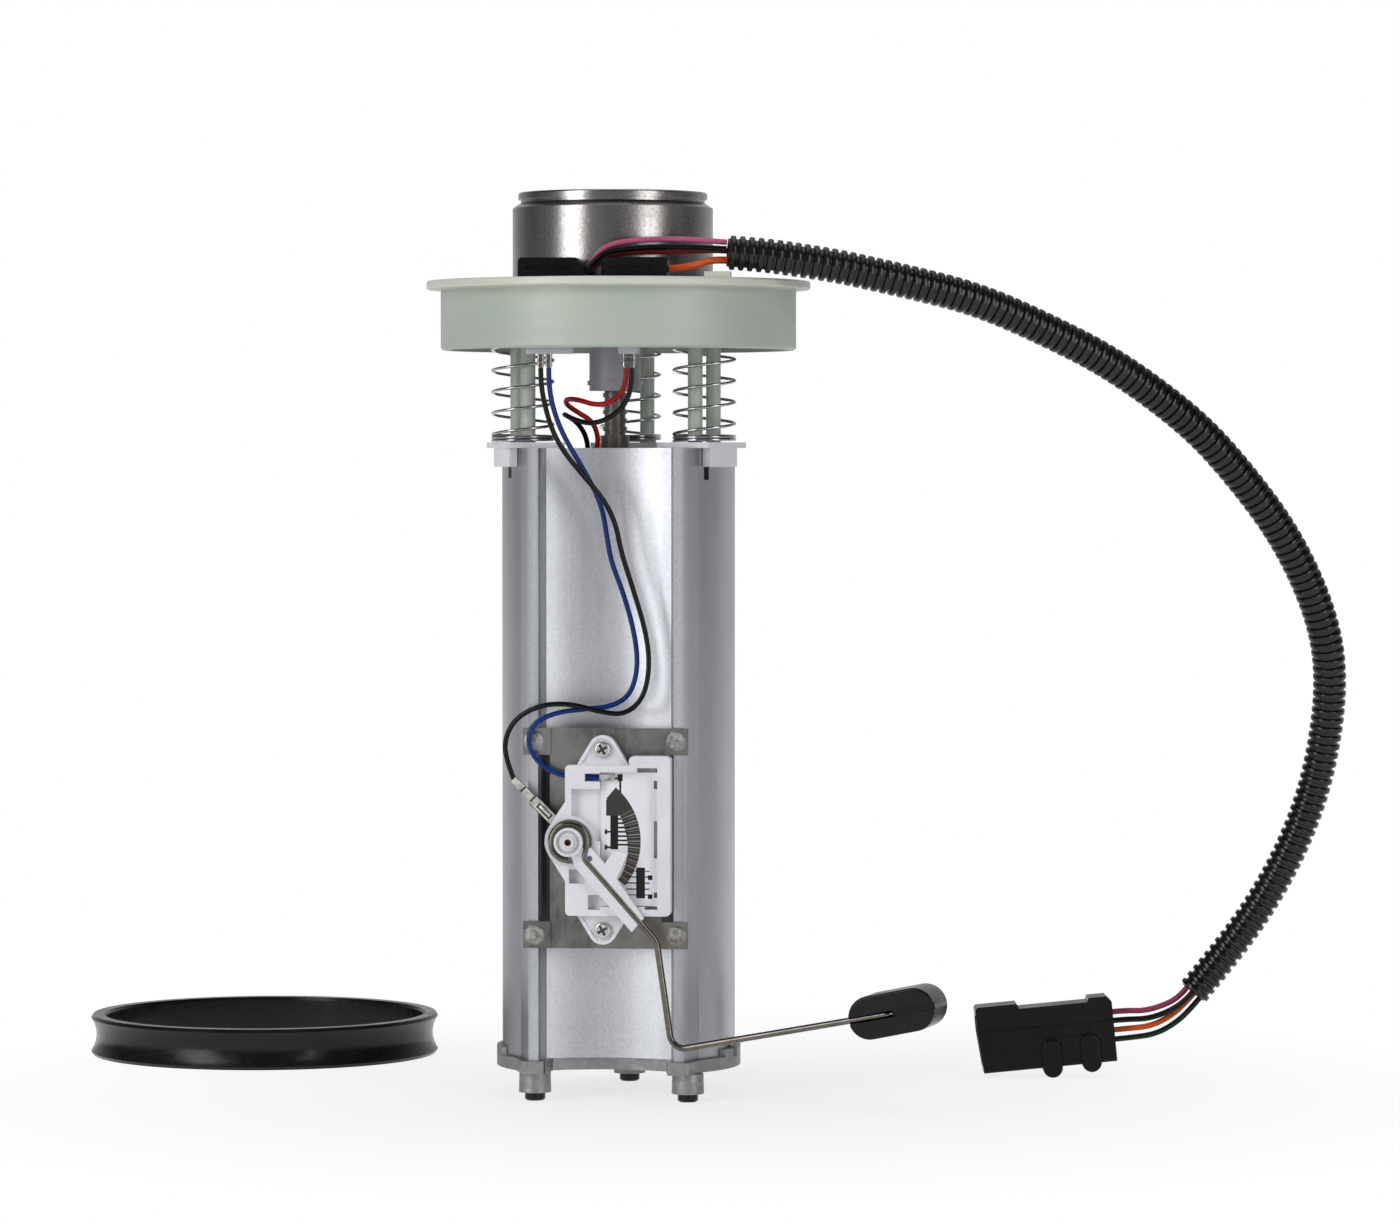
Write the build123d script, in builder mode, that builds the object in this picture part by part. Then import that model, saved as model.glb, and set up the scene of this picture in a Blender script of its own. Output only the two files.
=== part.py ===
"""In-tank fuel pump module: a flange with its filter can, a sprung reservoir, a level sender and a loom.

Millimetres, +Z up. The origin is the centre of the flange's underside, where the tank's seal seats.
The float arm hangs at the front (-Y), the loom leaves to the right (+X) and rests its plug on the floor.
"""
import math
import os
from build123d import *

os.makedirs("parts", exist_ok=True)

# Flange
flange_radius = 68.0
flange_thickness = 3.0
skirt_radius = 63.0
skirt_length = 21.4
skirt_wall = 3.0
spigot_radius = 33.9
spigot_width = 4.0
spigot_height = 7.0

# Filter can on the flange
can_radius = 35.5
can_wall = 0.8
can_height = 31.3
can_neck_radius = 32.6
can_rim_radius = 33.5
can_rim_height = 2.5
can_shift = -2.0
filter_inner = 17.0
filter_clearance = 2.5
lid_thickness = 1.0

# Reservoir extrusion
body_radius = 41.3
body_wall = 1.8
body_length = 214.3
spring_length = 54.0
seat_thickness = 2.0
rail_inner = 23.8
rail_outer = 27.3
rail_height = 3.3
channel_half = 22.0
channel_side = 29.0
channel_middle = 24.0

# Springs and guide rods
spring_radius = 11.25
spring_wire = 1.0
spring_pitch = 7.7
spring_circle = 35.5
spring_angles = {"rear": 90.0, "left": 205.0, "right": 335.0}
rod_radius = 2.6
rod_spacing = 12.4
rod_length = 89.6
rod_clearance = 0.3
slide_travel = 25.0

# Base casting and feet
base_thickness = 4.4
base_margin = 2.0
boss_radius = 5.5
boss_height = 7.0
foot_radius = 3.6
foot_height = 2.9
foot_inset = 9.8

# Pump
pump_x = -1.5
pump_y = 2.0
pump_radius = 19.0
pump_length = 110.0
pump_wall = 1.2
cap_height = 12.0
cap_step = 4.0
inlet_radius = 5.0
inlet_height = 9.0
outlet_radius = 3.0
outlet_height = 14.0
pump_gap_below = 9.0
shaft_radius = 1.6
armature_radius = 11.5
magnet_thickness = 5.0
impeller_radius = 15.0
impeller_thickness = 3.0
hose_radius = 3.75
hose_rib = 0.55
hose_pitch = 3.0
coupling_radius = 9.1
coupling_bore = 6.4
coupling_length = 35.7
cradle_thickness = 4.0
cradle_gap = 0.15
way_web = 8.5
strainer_length = 50.0
strainer_width = 30.0
strainer_height = 7.0

# Level sender
pivot_x = -11.7
pivot_z = -192.8
panel_lift = 0.4
panel_thickness = 1.0
panel_half = 19.6
panel_top = -153.6
panel_bottom = -230.6
tab_outer = 29.0
tab_height = 9.4
housing_left = -13.4
housing_right = 23.4
housing_top = -166.2
housing_corner_top = -163.0
housing_corner_left = 9.0
housing_bottom = -218.7
housing_thickness = 6.8
lobe_radius = 8.9
ear_radius = 5.0
screw_x = -0.6
screw_top_z = -160.9
screw_bottom_z = -223.9
screw_head_radius = 2.9
screw_shank_radius = 1.5
card_width = 18.4
card_height = 46.4
card_left = -1.0
card_top = -168.9
card_thickness = 1.0
pocket_floor = 3.2
ear_floor = 3.2
hub_radius = 5.0
hub_bore = 2.35
pin_radius = 2.25
arm_wire = 2.3
arm_lift = 8.6
float_length = 31.0
float_height = 15.0
float_depth = 19.0
float_x = 101.8
float_z = -250.0
float_tilt = 12.0
float_turn = 10.6
arm_push = 9.0

# Top connectors and terminals
shell_height = 6.9
shell_width = 23.0
shell_depth = 11.0
shell_front = 50.5
left_shell_x = -17.6
right_shell_x = 11.4
block_height = 23.4
nipple_radius = 3.97
nipple_bore = 2.6
nipple_length = 14.4
bead_length = 1.6
hub_depth = 4.0
nipple_z = 12.0
nipple_root = 44.0

# Loom, leads and loose pieces
conduit_diameter = 12.0
lead_diameter = 1.8
loom_wire = 2.0
orange_wire = 2.6
plug_length = 49.7
plug_depth = 14.0
plug_turn = 6.0
plug_tilt = 5.5
plug_x = 148.8
plug_y = 63.9
plug_wall = 1.8
seal_radius = 65.5
seal_bore = 60.0
seal_height = 15.0
seal_x = -148.8
seal_y = 115.1

# Levels that follow from the sizes above
rail_front = body_radius - rail_height
panel_front = rail_front + panel_lift
arm_plane = panel_front + arm_lift
foot_row = body_radius - foot_inset
foot_places = {"left": (-25.8, -foot_row), "right": (28.1, -foot_row), "rear": (0.0, foot_row + 1.5)}
flange_top = flange_thickness
body_top = -spring_length - seat_thickness
body_bottom = body_top - body_length
base_bottom = body_bottom - base_thickness
boss_bottom = base_bottom - boss_height
floor = boss_bottom - foot_height
pump_bottom = body_bottom + pump_gap_below + strainer_height + inlet_height
pump_shell_bottom = pump_bottom + cap_height
pump_shell_top = pump_shell_bottom + pump_length - 2 * cap_height
pump_top = pump_shell_top + cap_height
housing_front = panel_front + housing_thickness
can_top = flange_top + can_height


def body_outline(margin):
    """Outline of the extrusion, a circle with a concave channel between two rails, moved out by margin."""
    side = channel_half - margin
    with BuildSketch() as outline:
        Circle(body_radius + margin)
        for sign in (-1, 1):
            with BuildLine():
                Polyline(
                    (sign * (rail_inner - margin), -20.0),
                    (sign * (rail_inner - margin), -rail_front - margin),
                    (sign * (rail_outer + margin), -rail_front - margin),
                    (sign * (rail_outer + 4.2 + margin), -26.7),
                    (sign * (rail_inner - margin), -20.0),
                )
            make_face()
        with BuildLine():
            low = margin - channel_side
            ThreePointArc((-side, low), (0, margin - channel_middle), (side, low))
            Polyline(
                (side, margin - channel_side),
                (rail_inner - margin, -rail_front - margin),
                (rail_inner - margin, -body_radius - 3 * abs(margin) - 4),
                (margin - rail_inner, -body_radius - 3 * abs(margin) - 4),
                (margin - rail_inner, -rail_front - margin),
                (-side, margin - channel_side),
            )
        make_face(mode=Mode.SUBTRACT)
    return outline.sketch


def cavity_outline(gap):
    """Room inside the extrusion, less a gap all round."""
    inner = body_radius - body_wall - gap
    reach = rail_outer - 1.7
    front = channel_side - body_wall - gap
    middle = channel_middle - body_wall - gap
    with BuildSketch() as outline:
        Circle(inner)
        with BuildLine():
            ThreePointArc((-reach, -front), (0, -middle), (reach, -front))
            Polyline((reach, -front), (reach, -inner - 1), (-reach, -inner - 1), (-reach, -front))
        make_face(mode=Mode.SUBTRACT)
    return outline.sketch


def corner_radii(points):
    """Radius of each bend of a cord: as large as its two runs allow."""
    radii = []
    for before, corner, after in zip(points, points[1:], points[2:]):
        first = Vector(*corner) - Vector(*before)
        second = Vector(*after) - Vector(*corner)
        turn = math.radians(first.get_angle(second))
        radii.append(0.45 * min(first.length, second.length) / math.tan(turn / 2))
    return radii


def cord_tube(points, diameter):
    """Round cord along straight runs joined by tangent arcs."""
    with BuildPart() as tube:
        with BuildLine() as route:
            FilletPolyline(*points, radius=corner_radii(points))
        start = Plane(origin=route.line @ 0, z_dir=route.line % 0)
        with BuildSketch(start):
            Circle(diameter / 2)
        sweep()
    return tube.part


def finish(piece, name):
    """Names a piece and writes it."""
    piece.label = name
    export_step(piece, f"parts/{name}.step")


# Flange moulding: disc, hollow skirt, spigot for the can, guide rods for the springs
with BuildPart() as flange:
    with BuildSketch():
        Circle(flange_radius)
    extrude(amount=flange_thickness)
    fillet(flange.edges().filter_by(GeomType.CIRCLE), radius=0.8)
    with BuildSketch():
        Circle(skirt_radius)
        Circle(skirt_radius - skirt_wall, mode=Mode.SUBTRACT)
    extrude(amount=-skirt_length)
    chamfer(flange.faces().sort_by(Axis.Z)[0].outer_wire().edges(), length=0.8)
    with BuildSketch(Plane.XY.offset(flange_top)):
        with Locations((can_shift, 0)):
            Circle(spigot_radius)
            Circle(spigot_radius - spigot_width, mode=Mode.SUBTRACT)
    extrude(amount=spigot_height)
    with BuildSketch(Plane.XY.offset(flange_top + 2.0)):
        with Locations((can_shift, 0)):
            Circle(spigot_radius + 1)
            Circle(spigot_radius - 1.1, mode=Mode.SUBTRACT)
    extrude(amount=2.0, mode=Mode.SUBTRACT)
    for angle in spring_angles.values():
        around = Location((0, 0, 0), (0, 0, angle))
        with Locations(around):
            with Locations((spring_circle, 0, -1.5)):
                Box(2 * rod_radius + 1.6, rod_spacing + 2 * rod_radius + 1.0, 3.0)
            with Locations((spring_circle, 0, -rod_length / 2)):
                with GridLocations(1.0, rod_spacing, 1, 2):
                    Cylinder(rod_radius, rod_length)
    with Locations((39.5, -40.0, flange_top + 1.1)):
        Box(9.0, 5.0, 2.2)
    with Locations((0, nipple_root + hub_depth - 5.0, flange_top + 8.0)):
        Box(14.0, 10.0, 16.0)
    with Locations((pump_x, pump_y, 0)):
        Hole(coupling_bore - 1.6)
    with Locations((0, nipple_root, nipple_z)):
        Cylinder(nipple_radius - 0.6, 2 * hub_depth, rotation=(90, 0, 0), mode=Mode.SUBTRACT)
finish(flange.part, "flange")

# Filter can: drawn stainless cup with a shoulder, a neck and a rolled rim
with BuildPart() as filter_can:
    with BuildSketch(Plane.XZ):
        with BuildLine():
            Polyline(
                (can_radius - can_wall, flange_top),
                (can_radius, flange_top),
                (can_radius, can_top - 5.6),
                (can_neck_radius, can_top - 3.6),
                (can_neck_radius, can_top - can_rim_height),
                (can_rim_radius, can_top - can_rim_height),
                (can_rim_radius, can_top),
                (can_neck_radius - can_wall, can_top),
                (can_neck_radius - can_wall, can_top - 3.9),
                (can_radius - can_wall, can_top - 5.9),
                (can_radius - can_wall, flange_top),
            )
        make_face()
    revolve(axis=Axis.Z)
    rim_edges = filter_can.edges().filter_by(GeomType.CIRCLE).group_by(Axis.Z)[-1]
    fillet(rim_edges.sort_by(SortBy.RADIUS)[-1], radius=0.8)
filter_can.part.position = (can_shift, 0, 0)
finish(filter_can.part, "filter_can")

# Lid of the can, set down inside the rim
lid_radius = can_neck_radius - can_wall
with BuildPart() as can_lid:
    with BuildSketch(Plane.XY.offset(can_top - 2.6)):
        Circle(lid_radius)
    extrude(amount=lid_thickness)
    with BuildSketch(Plane.XY.offset(can_top - 2.6 + lid_thickness)):
        Circle(lid_radius)
        Circle(lid_radius - 2.0, mode=Mode.SUBTRACT)
    extrude(amount=1.1)
    with BuildSketch(Plane.XY.offset(can_top - 2.6 + lid_thickness)):
        Circle(9.0)
    extrude(amount=0.7, taper=20)
can_lid.part.position = (can_shift, 0, 0)
finish(can_lid.part, "can_lid")

# Seal between the can and the flange's spigot
with BuildPart() as can_seal:
    with BuildSketch(Plane.XZ):
        with Locations((spigot_radius - 0.15, flange_top + 3.0)):
            Circle(0.9)
    revolve(axis=Axis.Z)
can_seal.part.position = (can_shift, 0, 0)
finish(can_seal.part, "can_seal")

# Filter element with its end caps, and the pressure regulator inside it
filter_bottom = flange_top + spigot_height
filter_outer = can_radius - can_wall - filter_clearance
filter_top = can_top - 6.2
with BuildPart() as filter_element:
    with BuildSketch(Plane.XY.offset(filter_bottom)):
        Circle(filter_outer)
        Circle(filter_inner, mode=Mode.SUBTRACT)
    extrude(amount=filter_top - filter_bottom)
    with BuildSketch(Plane.XY.offset(filter_bottom + 1.2)):
        with PolarLocations(filter_outer, 36):
            Rectangle(2.4, 1.6)
    extrude(amount=filter_top - filter_bottom - 2.4, mode=Mode.SUBTRACT)
filter_element.part.position = (can_shift, 0, 0)
finish(filter_element.part, "filter_element")

with BuildPart() as regulator:
    with BuildSketch(Plane.XY.offset(flange_top)):
        Circle(7.0)
        Circle(coupling_bore - 2.0, mode=Mode.SUBTRACT)
    extrude(amount=6.0)
    with BuildSketch(Plane.XY.offset(flange_top + 6.0)):
        Circle(13.0)
    extrude(amount=11.0)
    fillet(regulator.faces().sort_by(Axis.Z)[-1].edges(), radius=1.5)
    with BuildSketch(Plane.XY.offset(flange_top + 17.0)):
        Circle(5.0)
    extrude(amount=4.0)
regulator.part.position = (pump_x, pump_y, 0)
finish(regulator.part, "pressure_regulator")

# Supply nipple at the back: steel tube seated in the flange's hub, its bead against the hub's face
nipple_foot = nipple_radius - 0.6
with BuildPart() as supply_nipple:
    with BuildSketch(Plane.XZ.offset(-nipple_root)):
        with Locations((0, nipple_z)):
            Circle(nipple_foot)
    extrude(amount=-hub_depth)
    with BuildSketch(Plane.XZ.offset(-nipple_root - hub_depth)):
        with Locations((0, nipple_z)):
            Circle(nipple_radius + 1.0)
    extrude(amount=-bead_length)
    with BuildSketch(Plane.XZ.offset(-nipple_root - hub_depth - bead_length)):
        with Locations((0, nipple_z)):
            Circle(nipple_radius)
    extrude(amount=-nipple_length)
    with BuildSketch(Plane.XZ.offset(-nipple_root - 2.0)):
        with Locations((0, nipple_z)):
            Circle(nipple_bore)
    extrude(amount=-hub_depth - nipple_length, mode=Mode.SUBTRACT)
finish(supply_nipple.part, "supply_nipple")

# Two black connector shells on the flange, in front of the can
for name, centre, bevel in (("connector_left", left_shell_x, 3.0), ("connector_right", right_shell_x, 0.9)):
    with BuildPart() as shell:
        with BuildSketch(Plane.XZ.offset(shell_front)):
            with BuildLine():
                right = shell_width / 2
                Polyline(
                    (centre - right, flange_top),
                    (centre + right, flange_top),
                    (centre + right, flange_top + shell_height - bevel),
                    (centre + right - bevel, flange_top + shell_height),
                    (centre - right + 0.9, flange_top + shell_height),
                    (centre - right, flange_top + shell_height - 0.9),
                    (centre - right, flange_top),
                )
            make_face()
        extrude(amount=-shell_depth)
        with BuildSketch(Plane.XZ.offset(shell_front)):
            with Locations((centre - 1.0, flange_top + 3.4)):
                Rectangle(shell_width - 8.0, 1.2)
        extrude(amount=-0.8, mode=Mode.SUBTRACT)
    finish(shell.part, name)

# Terminal blocks that reach down from the flange to just below its skirt
block_depth = 7.0
with BuildPart() as terminal_block:
    with BuildSketch():
        with Locations((-18.0, -48.5)):
            RectangleRounded(16.5, block_depth, 1.0)
    extrude(amount=-block_height)
    with BuildSketch(Plane.XY.offset(-block_height)):
        with Locations((-21.4, -48.0), (-18.6, -48.0), (-13.6, -48.0)):
            Circle(0.9)
    extrude(amount=6.0, mode=Mode.SUBTRACT)
finish(terminal_block.part, "terminal_block")

with BuildPart() as pump_terminal_block:
    with BuildSketch():
        with Locations((9.3, -47.5)):
            RectangleRounded(7.0, block_depth, 1.0)
    extrude(amount=-block_height)
finish(pump_terminal_block.part, "pump_terminal_block")

# Crimp terminals below the blocks, one for each lead
crimp_length = 4.9
lead_crimps = ((-21.4, -48.0, 1.15), (-18.6, -48.0, 1.15), (9.3, -47.0, 2.1))
crimp_bottom = -block_height - crimp_length
with BuildPart() as terminals:
    for x, y, half in lead_crimps:
        with BuildSketch(Plane.XY.offset(-block_height)):
            with Locations((x, y)):
                RectangleRounded(2 * half, 2.4, 0.5)
        extrude(amount=-crimp_length + 0.6)
        with BuildSketch(Plane.XY.offset(crimp_bottom + 0.6)):
            with Locations((x, y)):
                RectangleRounded(2 * half - 0.5, 1.9, 0.4)
        extrude(amount=-0.6)
finish(terminals.part, "lead_terminals")

# Outlet coupling below the flange: the pump's tube slides up and down inside it
with BuildPart() as coupling:
    with BuildSketch():
        with Locations((pump_x, pump_y)):
            Circle(coupling_radius)
            Circle(coupling_bore, mode=Mode.SUBTRACT)
    extrude(amount=-coupling_length)
    with BuildSketch(Plane.XY.offset(-coupling_length + 2.0)):
        with Locations((pump_x, pump_y)):
            Circle(coupling_radius + 0.7)
            Circle(coupling_bore, mode=Mode.SUBTRACT)
    extrude(amount=1.6)
    with BuildSketch():
        with Locations((pump_x, pump_y)):
            Circle(coupling_radius + 2.5)
            Circle(coupling_bore, mode=Mode.SUBTRACT)
    extrude(amount=-2.0)
finish(coupling.part, "outlet_coupling")

# Reservoir: aluminium extrusion, open at both ends
with BuildPart() as reservoir:
    with BuildSketch(Plane.XY.offset(body_bottom)):
        add(body_outline(0.0))
        add(cavity_outline(0.0), mode=Mode.SUBTRACT)
    extrude(amount=body_length)
finish(reservoir.part, "reservoir")

# Spring seats: plates over the reservoir's edge, with guide holes and an outer clip
seat_width = 26.0
seat_inner = 24.0
seat_outer = body_radius + 3.6
clip_drop = 6.6
for name, angle in spring_angles.items():
    around = Plane(origin=(0, 0, 0), x_dir=Vector(1, 0, 0).rotate(Axis.Z, angle), z_dir=(0, 0, 1))
    with BuildPart() as seat:
        with BuildSketch(around.offset(body_top)):
            with Locations(((seat_inner + seat_outer) / 2, 0)):
                Rectangle(seat_outer - seat_inner, seat_width)
        extrude(amount=seat_thickness)
        with BuildSketch(around.offset(body_top + seat_thickness)):
            Circle(body_radius + 0.25 + 2.8)
            Circle(body_radius + 0.25, mode=Mode.SUBTRACT)
            with Locations((seat_outer, 0)):
                Rectangle(24.0, 0.72 * seat_width, mode=Mode.INTERSECT)
        extrude(amount=-seat_thickness - clip_drop)
        with BuildSketch(around.offset(body_top)):
            with Locations((spring_circle, 0)):
                SlotCenterToCenter(rod_spacing, 2 * (rod_radius + rod_clearance + 1.0), rotation=90)
        extrude(amount=-14.0)
        with BuildSketch(around.offset(body_top - 14.0)):
            with Locations((spring_circle, -rod_spacing / 2), (spring_circle, rod_spacing / 2)):
                Circle(rod_radius + rod_clearance)
        extrude(amount=14.0 + seat_thickness, mode=Mode.SUBTRACT)
        with BuildSketch(Plane.XY.offset(body_top - 14.0)):
            Circle(body_radius)
            Circle(body_radius - body_wall - 0.1, mode=Mode.SUBTRACT)
        extrude(amount=14.0, mode=Mode.SUBTRACT)
    finish(seat.part, f"spring_seat_{name}")

# Springs: one open helix each, as long as the gap between seat and flange
for name, angle in spring_angles.items():
    middle = Vector(spring_circle, 0, 0).rotate(Axis.Z, angle)
    coil_radius = spring_radius - spring_wire / 2
    low = -spring_length + spring_wire / 2 + 0.01
    with BuildPart() as spring:
        with BuildLine() as coil:
            Helix(spring_pitch, -low - spring_wire / 2 - 0.01, coil_radius, center=(middle.X, middle.Y, low))
        with BuildSketch(Plane(origin=coil.line @ 0, z_dir=coil.line % 0)):
            Circle(spring_wire / 2)
        sweep()
    finish(spring.part, f"spring_{name}")

# Base casting under the reservoir, with a lip at its ends, bosses for the feet and an intake
with BuildPart() as base:
    with BuildSketch(Plane.XY.offset(base_bottom)):
        add(body_outline(base_margin))
    extrude(amount=base_thickness)
    with BuildSketch(Plane.XY.offset(body_bottom)):
        Circle(body_radius + base_margin)
        Circle(body_radius + 0.15, mode=Mode.SUBTRACT)
        Rectangle(3 * body_radius, 34.0, mode=Mode.INTERSECT)
    extrude(amount=2.4)
    with BuildSketch(Plane.XY.offset(base_bottom)):
        with Locations(*foot_places.values()):
            Circle(boss_radius)
    extrude(amount=-boss_height, taper=-1.5)
    with BuildSketch(Plane.XY.offset(boss_bottom)):
        with Locations(*foot_places.values()):
            Circle(foot_radius - 1.0)
    extrude(amount=5.0, mode=Mode.SUBTRACT)
    with BuildSketch(Plane.XY.offset(base_bottom)):
        with Locations((pump_x, pump_y)):
            SlotCenterToCenter(24.0, 14.0)
    extrude(amount=base_thickness, mode=Mode.SUBTRACT)
    with Locations((body_radius + 1.2, -7.0, body_bottom + 2.4)):
        Box(1.6, 4.0, 6.0)
finish(base.part, "base_casting")

# Rubber feet pushed up into the bosses
for name, place in foot_places.items():
    with BuildPart() as foot:
        with BuildSketch(Plane.XY.offset(floor)):
            with Locations(place):
                Circle(foot_radius)
        extrude(amount=foot_height)
        chamfer(foot.faces().sort_by(Axis.Z)[0].edges(), length=0.6)
        with BuildSketch(Plane.XY.offset(boss_bottom)):
            with Locations(place):
                Circle(foot_radius - 1.0)
        extrude(amount=5.0)
    finish(foot.part, f"foot_{name}")

# Pump: rolled shell between a lower inlet cap and an upper outlet cap
with BuildPart() as pump_shell:
    with BuildSketch(Plane.XY.offset(pump_shell_bottom)):
        with Locations((pump_x, pump_y)):
            Circle(pump_radius)
            Circle(pump_radius - pump_wall, mode=Mode.SUBTRACT)
    extrude(amount=pump_shell_top - pump_shell_bottom)
finish(pump_shell.part, "pump_shell")

with BuildPart() as magnet:
    with BuildSketch(Plane.XY.offset(pump_shell_bottom + cap_step + 9.0)):
        with Locations((pump_x, pump_y)):
            Circle(pump_radius - pump_wall)
            Circle(pump_radius - pump_wall - magnet_thickness, mode=Mode.SUBTRACT)
            Rectangle(3.0, 2 * pump_radius, mode=Mode.SUBTRACT)
    extrude(amount=42.0)
finish(magnet.part, "pump_magnets")

with BuildPart() as inlet_cap:
    with BuildSketch(Plane.XY.offset(pump_bottom)):
        with Locations((pump_x, pump_y)):
            Circle(pump_radius)
    extrude(amount=cap_height)
    fillet(inlet_cap.faces().sort_by(Axis.Z)[0].edges(), radius=2.0)
    with BuildSketch(Plane.XY.offset(pump_shell_bottom)):
        with Locations((pump_x, pump_y)):
            Circle(pump_radius - pump_wall)
    extrude(amount=cap_step)
    with BuildSketch(Plane.XY.offset(pump_shell_bottom + cap_step)):
        with Locations((pump_x, pump_y)):
            Circle(shaft_radius + 0.05)
    extrude(amount=-6.0, mode=Mode.SUBTRACT)
    with BuildSketch(Plane.XY.offset(pump_bottom)):
        with Locations((pump_x + 8.0, pump_y)):
            Circle(inlet_radius)
    extrude(amount=-inlet_height)
    with BuildSketch(Plane.XY.offset(pump_bottom - inlet_height)):
        with Locations((pump_x + 8.0, pump_y)):
            Circle(inlet_radius - 1.5)
    extrude(amount=inlet_height + 4.0, mode=Mode.SUBTRACT)
finish(inlet_cap.part, "pump_inlet_cap")

with BuildPart() as outlet_cap:
    with BuildSketch(Plane.XY.offset(pump_shell_top)):
        with Locations((pump_x, pump_y)):
            Circle(pump_radius)
    extrude(amount=cap_height)
    fillet(outlet_cap.faces().sort_by(Axis.Z)[-1].edges(), radius=3.0)
    with BuildSketch(Plane.XY.offset(pump_shell_top)):
        with Locations((pump_x, pump_y)):
            Circle(pump_radius - pump_wall)
    extrude(amount=-cap_step)
    with BuildSketch(Plane.XY.offset(pump_shell_top - cap_step)):
        with Locations((pump_x, pump_y)):
            Circle(shaft_radius + 0.05)
    extrude(amount=6.0, mode=Mode.SUBTRACT)
    with BuildSketch(Plane.XY.offset(pump_top)):
        with Locations((pump_x, pump_y)):
            Circle(outlet_radius)
    extrude(amount=outlet_height)
    with BuildSketch(Plane.XY.offset(pump_top + outlet_height)):
        with Locations((pump_x, pump_y)):
            Circle(outlet_radius - 1.2)
    extrude(amount=-outlet_height - 2.0, mode=Mode.SUBTRACT)
    with BuildSketch(Plane.XY.offset(pump_top - 1.0)):
        with Locations((pump_x - 8.0, pump_y - 7.0), (pump_x - 8.0, pump_y + 7.0)):
            Circle(2.0)
    extrude(amount=4.0)
finish(outlet_cap.part, "pump_outlet_cap")

# Rotor: shaft, wound armature and the impeller that it drives
impeller_bottom = pump_shell_bottom + cap_step + 0.5
with BuildPart() as armature:
    with BuildSketch(Plane.XY.offset(pump_shell_bottom - 1.0)):
        with Locations((pump_x, pump_y)):
            Circle(shaft_radius)
    extrude(amount=pump_shell_top - pump_shell_bottom + 2.0)
    with BuildSketch(Plane.XY.offset(pump_shell_bottom + cap_step + 12.0)):
        with Locations((pump_x, pump_y)):
            Circle(armature_radius)
            with PolarLocations(armature_radius, 8):
                Rectangle(5.0, 1.6, mode=Mode.SUBTRACT)
    extrude(amount=38.0)
    with BuildSketch(Plane.XY.offset(pump_shell_top - cap_step - 12.0)):
        with Locations((pump_x, pump_y)):
            Circle(7.0)
    extrude(amount=8.0)
finish(armature.part, "pump_armature")

with BuildPart() as impeller:
    with BuildSketch(Plane.XY.offset(impeller_bottom)):
        with Locations((pump_x, pump_y)):
            Circle(impeller_radius)
            Circle(shaft_radius, mode=Mode.SUBTRACT)
            with PolarLocations(impeller_radius - 1.2, 16):
                Rectangle(3.0, 1.6, mode=Mode.SUBTRACT)
    extrude(amount=impeller_thickness)
finish(impeller.part, "pump_impeller")

# Ribbed outlet tube from the pump up into the coupling
hose_bottom = pump_top + 1.0
hose_top = -coupling_length + slide_travel / 2 + 3.0
bulge_middle = body_top + 1.0
with BuildPart() as hose:
    with BuildSketch(Plane.XY.offset(hose_bottom)):
        Circle(hose_radius)
    extrude(amount=hose_top - hose_bottom)
    rib_count = int((hose_top - hose_bottom - 4.0) / hose_pitch)
    for step in range(rib_count):
        with Locations((0, 0, hose_top - 2.0 - step * hose_pitch)):
            Cylinder(hose_radius + hose_rib, hose_pitch / 2)
    with Locations((0, 0, bulge_middle)):
        Cylinder(5.15, 7.0)
    with BuildSketch(Plane.XY.offset(hose_bottom)):
        Circle(outlet_radius)
    extrude(amount=hose_top - hose_bottom, mode=Mode.SUBTRACT)
hose.part.position = (pump_x, pump_y, 0)
finish(hose.part, "outlet_tube")

# Cradles that hold the pump in the reservoir, each with two ways for the fuel beside the pump
way_circle = (body_radius - body_wall + pump_radius) / 2
way_radius = (body_radius - body_wall - pump_radius - way_web) / 2
for name, level in (("lower", pump_shell_bottom + 12.0), ("upper", pump_shell_top - 16.0)):
    with BuildPart() as cradle:
        with BuildSketch(Plane.XY.offset(level)):
            add(cavity_outline(cradle_gap))
            with Locations((pump_x, pump_y)):
                Circle(pump_radius, mode=Mode.SUBTRACT)
            with PolarLocations(way_circle, 2, start_angle=30, angular_range=240):
                Circle(way_radius, mode=Mode.SUBTRACT)
        extrude(amount=cradle_thickness)
    finish(cradle.part, f"pump_cradle_{name}")

# Strainer below the pump
strainer_bottom = pump_bottom - inlet_height - strainer_height
with BuildPart() as strainer:
    with BuildSketch(Plane.XY.offset(strainer_bottom)):
        with Locations((pump_x, pump_y)):
            SlotOverall(strainer_length, strainer_width)
    extrude(amount=strainer_height)
    fillet(strainer.edges().group_by(Axis.Z)[0], radius=2.5)
    fillet(strainer.edges().group_by(Axis.Z)[-1], radius=2.5)
finish(strainer.part, "strainer")

# Steel bracket of the level sender, its four tabs staked to the rails
with BuildPart() as bracket:
    with BuildSketch(Plane.XZ.offset(panel_front - panel_thickness)):
        with Locations((0, (panel_top + panel_bottom) / 2)):
            Rectangle(2 * panel_half, panel_top - panel_bottom)
    extrude(amount=panel_thickness)
    with BuildSketch(Plane.XZ.offset(rail_front)):
        for side in (-1, 1):
            for level in (panel_top - tab_height / 2, panel_bottom + tab_height / 2):
                with Locations((side * (panel_half + tab_outer - 0.4) / 2, level)):
                    Rectangle(tab_outer - panel_half + 0.4, tab_height)
    extrude(amount=panel_thickness)
finish(bracket.part, "sender_bracket")

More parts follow.
